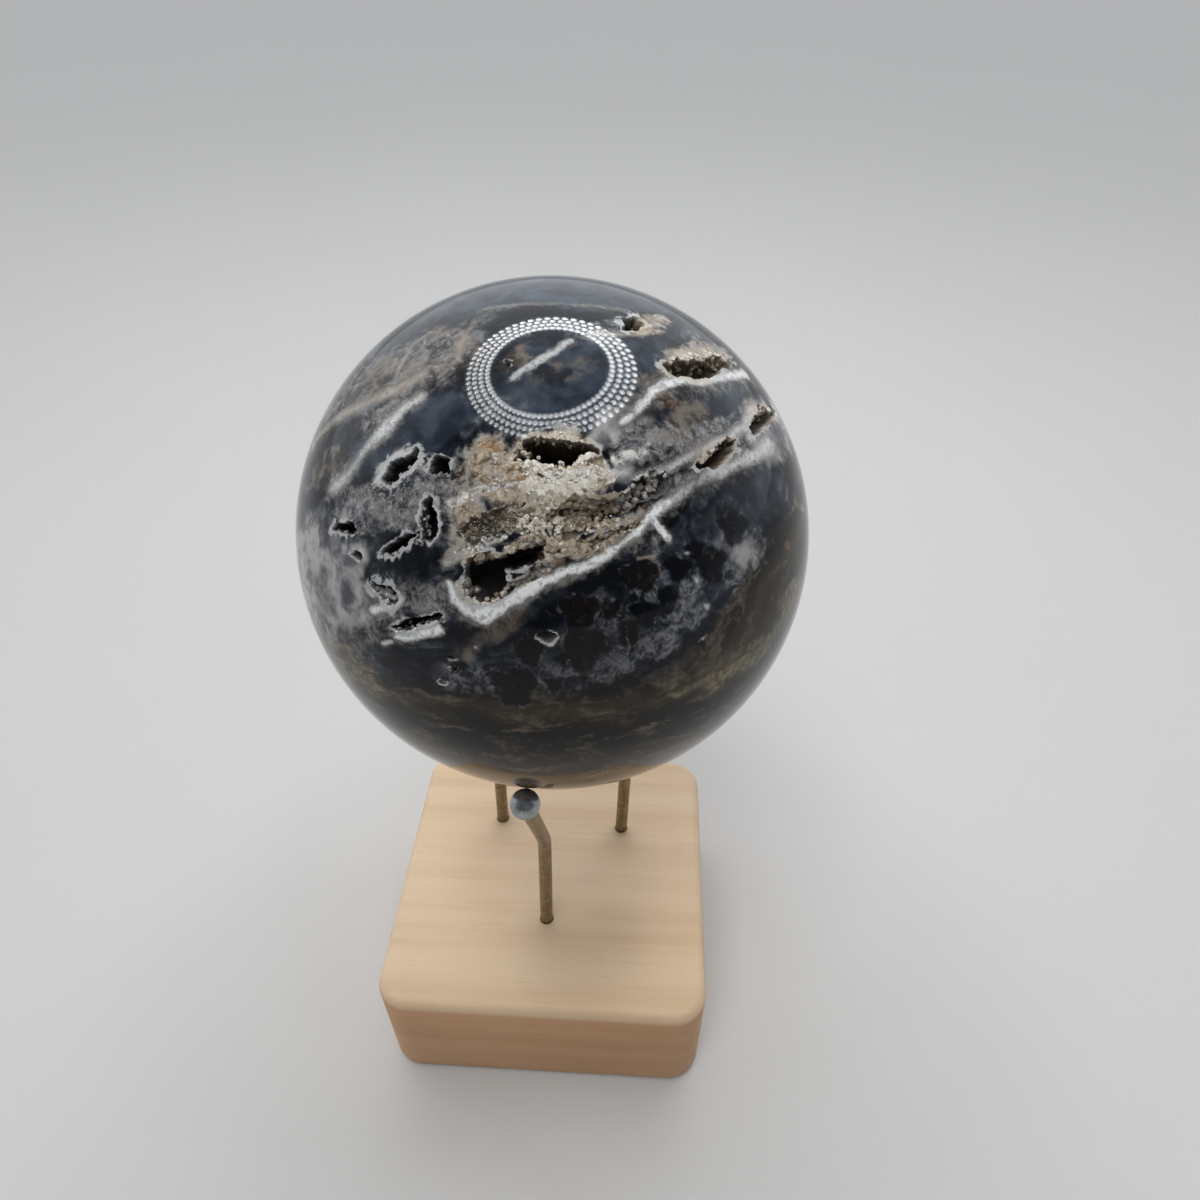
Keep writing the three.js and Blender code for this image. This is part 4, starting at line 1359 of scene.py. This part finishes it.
@dataclass
class CrystalLining:
    """The crystals that line the cavities, cut flush with the polish where they reach it.

    Where a cavity is deeper than ledge, its crystals keep to the wall just inside the mouth, within inner_edge of it,
    and where it is deeper than cave, none hang in its middle.
    """

    ball: StoneBall
    seed: int = 41
    flush: float = 0.02
    ledge: float = 1.6
    cave: float = 2.2
    inner_edge: float = 0.35

    def build(self) -> bpy.types.Object:
        """Grows every patch of crystals.

        Returns:
            The piece.
        """
        rng = np.random.default_rng(self.seed)
        noise.seed_set(self.seed)
        bm = bmesh.new()
        for growth in GROWTHS:
            patch = self.grow(growth, rng)
            mesh = bpy.data.meshes.new("growth")
            patch.to_mesh(mesh)
            patch.free()
            bm.from_mesh(mesh)
            bpy.data.meshes.remove(mesh)
        bmesh.ops.translate(bm, vec=self.ball.centre, verts=bm.verts[:])
        piece = to_object("stone_crystals", bm, 28.0)
        dress(piece, CrystalFinish().build(), [])
        return piece

    def grow(self, growth: Growth, rng: np.random.Generator) -> bmesh.types.BMesh:
        """Makes the crystals of one patch.

        Args:
            growth: The patch.
            rng: The source of its chances.

        Returns:
            Their mesh around the ball's centre, each vertex with its crystal's tint, which carries painted shade for
            deep crystals.
        """
        bm = bmesh.new()
        tint, cool = bm.verts.layers.float.new("tint"), bm.verts.layers.float.new("cool")
        for point, size, shade in self.scatter(growth, rng):
            turn = Matrix.Rotation(rng.uniform(0, math.tau), 4, Vector(rng.normal(size=3)).normalized())
            stretch = Matrix.Diagonal((*rng.uniform(0.75, 1.2, 3), 1.0))
            matrix = Matrix.Translation(Vector(point)) @ turn @ stretch @ Matrix.Scale(size, 4)
            if growth.pointed:
                sides = {"segments": 6, "radius1": 0.75, "radius2": 0.2, "depth": 2.4}
                made = bmesh.ops.create_cone(bm, cap_ends=True, matrix=matrix, **sides)
            else:
                grade = 2 if growth.round else 1
                made = bmesh.ops.create_icosphere(bm, subdivisions=grade, radius=1.0, matrix=matrix)
            for vert in made["verts"]:
                vert.co += noise.noise_vector(vert.co * 2.7) * (0.22 * size)
                vert[tint], vert[cool] = shade, growth.cool
        limit = self.ball.chart.radius - self.flush
        for vert in bm.verts:
            if vert.co.length > limit:
                vert.co *= limit / vert.co.length
        return bm

    def scatter(self, growth: Growth, rng: np.random.Generator) -> Iterable[tuple[np.ndarray, float, float]]:
        """Places one patch's crystals on the walls of the cavities.

        Args:
            growth: The patch.
            rng: The source of its chances.

        Returns:
            Each crystal's middle around the ball's centre, its size and its tint, darkened by painted shade the deeper
            it sinks.
        """
        knots = np.array(growth.line)
        steps = np.concatenate([[0.0], np.cumsum(np.hypot(*np.diff(knots, axis=0).T))])
        along = rng.uniform(0.0, steps[-1], growth.count)
        across = np.interp(along, steps, knots[:, 0]) + rng.normal(0.0, growth.spread, growth.count)
        up = np.interp(along, steps, knots[:, 1]) + rng.normal(0.0, growth.spread, growth.count)
        surface = self.ball.chart.points(across, up, growth.side)
        depth, mouth, _ = self.ball.relief(surface)
        sizes = rng.uniform(*growth.sizes, growth.count)
        sink = np.maximum(depth - growth.lift * sizes, 0.35 * sizes)
        beside = mouth > -self.inner_edge
        sink = np.where((depth > self.ledge) & beside, rng.uniform(0.2, 1.4, growth.count), sink)
        points = surface * (1.0 - sink / self.ball.chart.radius)[:, None]
        # painted shade: the tint drops with the crystal's sink into the cavity
        shade = growth.tint + rng.normal(0.0, 0.14, growth.count) - 0.1 * np.clip(sink, 0.0, 3.0)
        kept = (depth < self.cave) | beside
        return zip(points[kept], sizes[kept], shade[kept])


# ---------------------------------------------------------------- the stand


@dataclass
class WoodFoot:
    """The wood block, with rounded corners, eased edges and three drilled holes."""

    middle: Vector
    size: Vector
    holes: Sequence[Vector]
    upright: Vector
    corner: float = 5.0
    easing: float = 1.4
    hole_radius: float = 1.12
    hole_depth: float = 14.0
    crisp: float = 35.0  # edges sharper than this many degrees stay crisp

    def build(self) -> bpy.types.Object:
        """Shapes and drills the block.

        Returns:
            The piece.
        """
        bm = bmesh.new()
        bmesh.ops.create_cube(bm, size=1.0, matrix=Matrix.Translation(self.middle) @ Matrix.Diagonal((*self.size, 1.0)))
        upright = [e for e in bm.edges if abs((e.verts[0].co - e.verts[1].co).z) > 1.0]
        self.ease(bm, upright, self.corner, 10)
        top, bottom = self.middle.z + self.size.z / 2, self.middle.z - self.size.z / 2
        flat = [e for height in (top, bottom) for e in bm.edges if all(abs(v.co.z - height) < 1e-4 for v in e.verts)]
        self.ease(bm, flat, self.easing, 4)
        piece = to_object("wood_foot", bm, self.crisp)
        self.drill(piece)
        dress(piece, WoodFinish(top).build(), ["wood_base"])
        return piece

    @staticmethod
    def ease(bm: bmesh.types.BMesh, edges: list[bmesh.types.BMEdge], radius: float, steps: int) -> None:
        """Rounds edges over in a number of steps."""
        bmesh.ops.bevel(bm, geom=edges, offset=radius, segments=steps, affect="EDGES", profile=0.5, material=-1)

    def drill(self, piece: bpy.types.Object) -> None:
        """Cuts the three holes into the block.

        Args:
            piece: The block.
        """
        bm = bmesh.new()
        drill = {"segments": 28, "radius1": self.hole_radius, "radius2": self.hole_radius, "depth": 2 * self.hole_depth}
        for hole in self.holes:
            bmesh.ops.create_cone(bm, cap_ends=True, matrix=Matrix.Translation(hole) @ turn_to(self.upright), **drill)
        cutter = to_object("drill", bm)
        cut = piece.modifiers.new("drill", "BOOLEAN")
        cut.operation, cut.object, cut.solver = "DIFFERENCE", cutter, "EXACT"
        evaluated = piece.evaluated_get(bpy.context.evaluated_depsgraph_get())
        mesh = bpy.data.meshes.new_from_object(evaluated)
        piece.modifiers.clear()
        piece.data = mesh
        mesh.set_sharp_from_angle(angle=math.radians(self.crisp))
        bpy.data.objects.remove(cutter)


@dataclass
class Prong:
    """One wire that stands in the block, bends outwards at a knee and carries a ball tip against the stone."""

    name: str
    azimuth: float
    foot: Vector
    upright: Vector
    stone_centre: Vector
    stone_radius: float = 30.0
    wire_radius: float = 1.0
    bend_radius: float = 8.0
    knee_height: float = 22.0
    set_depth: float = 12.5
    tip_radius: float = 1.78
    tip_turn: float = -1.5
    below_equator: float = 36.5
    collar_wall: float = 0.2
    collar_height: float = 0.3
    bend_steps: int = 14

    @property
    def tip(self) -> Vector:
        """The middle of the ball tip, which touches the stone."""
        fall = math.radians(self.below_equator)
        way = level(self.azimuth + self.tip_turn) * math.cos(fall) - UP * math.sin(fall)
        return self.stone_centre + way * (self.stone_radius + self.tip_radius)

    def build(self) -> None:
        """Makes the wire and its tip."""
        arm = self.tip - self.foot - self.upright * self.knee_height
        turn = self.upright.angle(arm)
        trim = self.bend_radius * math.tan(turn / 2)
        self.wire(arm.normalized(), turn, self.knee_height - trim, arm.length - trim - 0.6 * self.tip_radius)
        self.ball(arm.normalized())

    def wire(self, slope: Vector, turn: float, stem: float, arm: float) -> None:
        """Draws the wire out of one ring.

        Args:
            slope: The direction of the leaning arm.
            turn: How far the arm turns from the stem, in radians.
            stem: The length of the straight part above the block.
            arm: The length of the leaning part after the bend.
        """
        bm = bmesh.new()
        start = Matrix.Translation(self.foot - self.upright * self.set_depth) @ turn_to(self.upright)
        ring = bmesh.ops.create_circle(bm, cap_ends=True, segments=24, radius=self.wire_radius, matrix=start)["verts"]
        edges = [e for e in bm.edges if e.verts[0] in ring and e.verts[1] in ring]
        edges = self.draw(bm, edges, self.upright * (self.set_depth + stem), 14)
        axis = self.upright.cross(slope).normalized()
        pivot = self.foot + self.upright * stem + axis.cross(self.upright) * self.bend_radius
        spun = bmesh.ops.spin(bm, geom=edges, cent=pivot, axis=axis, angle=turn, steps=self.bend_steps)["geom_last"]
        edges = self.draw(bm, [e for e in spun if isinstance(e, bmesh.types.BMEdge)], slope * arm, 10)
        bmesh.ops.holes_fill(bm, edges=edges, sides=0)
        piece = to_object(f"wire_{self.name}", bm, 50.0)
        dress(piece, WireFinish().build(), [f"prong_{self.name}"])

    @staticmethod
    def draw(
        bm: bmesh.types.BMesh, edges: list[bmesh.types.BMEdge], way: Vector, steps: int
    ) -> list[bmesh.types.BMEdge]:
        """Draws a ring out in even steps.

        Args:
            bm: The mesh.
            edges: The open ring.
            way: The whole move.
            steps: How many rings it makes.

        Returns:
            The ring at the new end.
        """
        for _ in range(steps):
            made = bmesh.ops.extrude_edge_only(bm, edges=edges)["geom"]
            bmesh.ops.translate(bm, vec=way / steps, verts=[v for v in made if isinstance(v, bmesh.types.BMVert)])
            edges = [e for e in made if isinstance(e, bmesh.types.BMEdge)]
        return edges

    def ball(self, slope: Vector) -> None:
        """Turns the ball tip with its short collar.

        Args:
            slope: The direction of the wire's arm, from the foot.
        """
        bm = bmesh.new()
        radius, neck = self.tip_radius, self.wire_radius + self.collar_wall
        start = math.asin(neck / radius)
        end = -radius * math.cos(start) - self.collar_height
        profile = [(0.0, end), (neck - 0.3, end), (neck, end + 0.2)]
        profile += [(radius * math.sin(t), -radius * math.cos(t)) for t in np.linspace(start, math.pi, 22)]
        profile[-1] = (0.0, radius)
        verts = [bm.verts.new((x, 0.0, z)) for x, z in profile]
        edges = [bm.edges.new(pair) for pair in zip(verts[:-1], verts[1:])]
        bmesh.ops.spin(bm, geom=verts + edges, cent=(0, 0, 0), axis=(0, 0, 1), angle=math.tau, steps=36, use_merge=True)
        bmesh.ops.remove_doubles(bm, verts=bm.verts[:], dist=1e-4)
        bmesh.ops.transform(bm, matrix=Matrix.Translation(self.tip) @ turn_to(slope), verts=bm.verts[:])
        piece = to_object(f"ball_tip_{self.name}", bm, 30.0)
        dress(piece, TipFinish().build(), [f"tip_{self.name}"])


# ---------------------------------------------------------------- the studio


@dataclass(frozen=True)
class RingLamp:
    """A round lamp over the ball: rows of beads that show only in the polish, and soft lamps for what is matt."""

    middle: Vector
    tilt: Vector = field(default_factory=lambda: Vector((0.275, 0.143, 0.95)).normalized())
    rows: tuple[float, ...] = (157.0, 142.0, 127.0, 112.0)
    row_shift: float = 0.026
    row_beads: int = 66
    stretch: float = 1.08
    bead_radius: float = 5.2
    bead_glow: float = 22.5
    spark_radius: float = 1.8
    spark_glow: float = 60.0
    soft_lamps: int = 14
    soft_reach: float = 142.0
    soft_radius: float = 24.0
    soft_power: float = 0.226

    def build(self) -> None:
        """Hangs the beads, the sparks beside them and the soft lamps."""
        side = Vector((0.0, 1.0, 0.0)).cross(self.tilt).normalized()
        ahead = self.tilt.cross(side)
        for row, radius in enumerate(self.rows):
            spots = []
            for step in range(self.row_beads):
                angle = math.tau * (step + 0.5 * (row % 2)) / self.row_beads
                way = (math.cos(angle) + self.row_shift * row) * side + self.stretch * math.sin(angle) * ahead
                spots.append(self.middle + radius * way)
            self.beads(f"ring_beads_{row}", spots, self.bead_radius, self.bead_glow)
            sparks = [spot - 2.3 * ahead - 4.6 * self.tilt for spot in spots]
            self.beads(f"ring_sparks_{row}", sparks, self.spark_radius, self.spark_glow)
        for step in range(self.soft_lamps):
            angle = math.tau * step / self.soft_lamps
            way = math.cos(angle) * side + self.stretch * math.sin(angle) * ahead
            self.lamp(self.middle + self.soft_reach * way)

    @staticmethod
    def beads(name: str, spots: Sequence[Vector], radius: float, glow: float) -> None:
        """Hangs a row of glowing beads.

        Args:
            name: The row's name.
            spots: The beads' middles.
            radius: Their radius.
            glow: How bright they are.
        """
        bm = bmesh.new()
        for spot in spots:
            bmesh.ops.create_icosphere(bm, subdivisions=2, radius=radius, matrix=Matrix.Translation(spot))
        piece = to_object(name, bm)
        b = Bench("glowing_bead")
        glass = {"base_color": (0.0, 0.0, 0.0), "emission_color": (0.95, 0.975, 1.0), "emission_strength": glow}
        piece.data.materials.append(b.finish(**glass))
        b.material.cycles.emission_sampling = "NONE"
        piece.visible_camera = piece.visible_diffuse = piece.visible_shadow = piece.visible_transmission = False

    def lamp(self, spot: Vector) -> None:
        """Hangs one soft lamp that leaves no image in the polish."""
        data = bpy.data.lights.new("ring_lamp", "POINT")
        data.shadow_soft_size, data.energy, data.color = self.soft_radius * MM, self.soft_power, LAMP_TONE
        lamp = add("ring_lamp", data)
        lamp.location = spot * MM
        lamp.visible_glossy = False


@dataclass
class Studio:
    """The pale floor, the soft light and the camera, with angles in degrees."""

    stone_centre: Vector
    camera_offset: Vector = field(default_factory=lambda: Vector((10.04, -83.87, 61.8)))
    camera_turn: float = 3.2
    camera_fall: float = 40.4
    lens: float = 25.61
    sensor: float = 36.0
    ring_offset: Vector = field(default_factory=lambda: Vector((-30.0, 84.0, 287.0)))
    floor_radius: float = 6000.0
    key_angle: float = 30.0
    key_strength: float = 1.0
    key_way: Vector = field(default_factory=lambda: Vector((-0.15, -0.42, 1.0)).normalized())
    viewer_way: Vector = field(default_factory=lambda: Vector((0.1, -0.78, 0.62)).normalized())
    viewer_span: tuple[float, ...] = (-0.3, 0.7, 1.2, 0.10)
    height_span: tuple[float, ...] = (-0.1, 0.6, 0.72, 1.15)

    def build(self) -> None:
        """Sets up the floor, the lights and the camera."""
        bpy.context.scene.view_settings.view_transform = "Standard"
        self.floor()
        self.sky()
        RingLamp(self.stone_centre + self.ring_offset).build()
        self.key()
        self.camera()

    def floor(self) -> None:
        """Lays the floor."""
        bm = bmesh.new()
        under = Matrix.Translation((0, 0, -0.02))
        bmesh.ops.create_circle(bm, cap_ends=True, segments=96, radius=self.floor_radius, matrix=under)
        piece = to_object("floor", bm, None)
        piece.data.materials.append(FloorFinish().build())

    def key(self) -> None:
        """Adds broad soft light from the front that leaves no image in the polish."""
        data = bpy.data.lights.new("soft_key", "SUN")
        data.angle, data.energy, data.color = math.radians(self.key_angle), self.key_strength, LAMP_TONE
        lamp = add("soft_key", data)
        lamp.rotation_euler = self.key_way.to_track_quat("Z", "Y").to_euler()
        lamp.visible_glossy = False

    def sky(self) -> None:
        """Surrounds the scene with soft light: brighter with height, and dimmer on the side where a viewer stands.

        Each span gives the share of its direction where the light starts and stops changing, and its strengths there.
        """
        world = bpy.data.worlds.new("soft_room")
        bpy.context.scene.world = world
        world.use_nodes = True
        nodes, links = world.node_tree.nodes, world.node_tree.links
        nodes.clear()
        output, light = nodes.new("ShaderNodeOutputWorld"), nodes.new("ShaderNodeBackground")
        both, where = nodes.new("ShaderNodeMath"), nodes.new("ShaderNodeTexCoord")
        both.operation = "MULTIPLY"
        for way, span, target in zip((self.viewer_way, UP), (self.viewer_span, self.height_span), both.inputs):
            dot, ramp = nodes.new("ShaderNodeVectorMath"), nodes.new("ShaderNodeMapRange")
            dot.operation, ramp.interpolation_type = "DOT_PRODUCT", "SMOOTHSTEP"
            dot.inputs[1].default_value = way
            for name, value in zip(("From Min", "From Max", "To Min", "To Max"), span):
                ramp.inputs[name].default_value = value
            links.new(where.outputs["Generated"], dot.inputs[0])
            links.new(dot.outputs["Value"], ramp.inputs["Value"])
            links.new(ramp.outputs[0], target)
        links.new(both.outputs[0], light.inputs["Strength"])
        links.new(light.outputs[0], output.inputs[0])
        light.inputs["Color"].default_value = (0.93, 0.96, 1.0, 1.0)

    def camera(self) -> None:
        """Places the camera."""
        data = bpy.data.cameras.new("camera")
        data.lens, data.sensor_width, data.clip_start, data.clip_end = self.lens, self.sensor, 0.005, 50.0
        camera = add("camera", data)
        camera.location = (self.stone_centre + self.camera_offset) * MM
        turn, fall = math.radians(self.camera_turn), math.radians(self.camera_fall)
        camera.rotation_euler = (math.pi / 2 - fall, 0.0, turn)
        bpy.context.scene.camera = camera


def millimetre_box(node: str) -> tuple[Vector, Vector]:
    """The lowest and highest corners of a solid, in millimetres."""
    low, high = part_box(node)
    return low / MM, high / MM


def main() -> None:
    """Builds the ornament and its studio in order."""
    logging.basicConfig(level=logging.INFO, format="%(name)s %(message)s")
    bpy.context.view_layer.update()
    ball_low, ball_high = millimetre_box("stone_sphere")
    block_low, block_high = millimetre_box("wood_base")
    centre = Vector((0.0, 0.0, block_high.z + STONE_RISE))
    log.info("stone centre %s, box middle %s", centre, (ball_low + ball_high) / 2)
    ball = StoneBall(centre)
    ball.build()
    CrystalLining(ball).build()
    upright = Vector((math.sin(math.radians(WIRE_TILT)), 0.0, math.cos(math.radians(WIRE_TILT))))
    middle = Vector((PRONG_MIDDLE, 0.0, block_high.z))
    feet = {name: middle + PRONG_CIRCLE * level(azimuth) for name, azimuth in PRONG_AZIMUTHS.items()}
    WoodFoot((block_low + block_high) / 2, block_high - block_low, list(feet.values()), upright).build()
    for name, azimuth in PRONG_AZIMUTHS.items():
        Prong(name, azimuth, feet[name], upright, centre).build()
    Studio(centre).build()


if __name__ == "__main__":
    main()
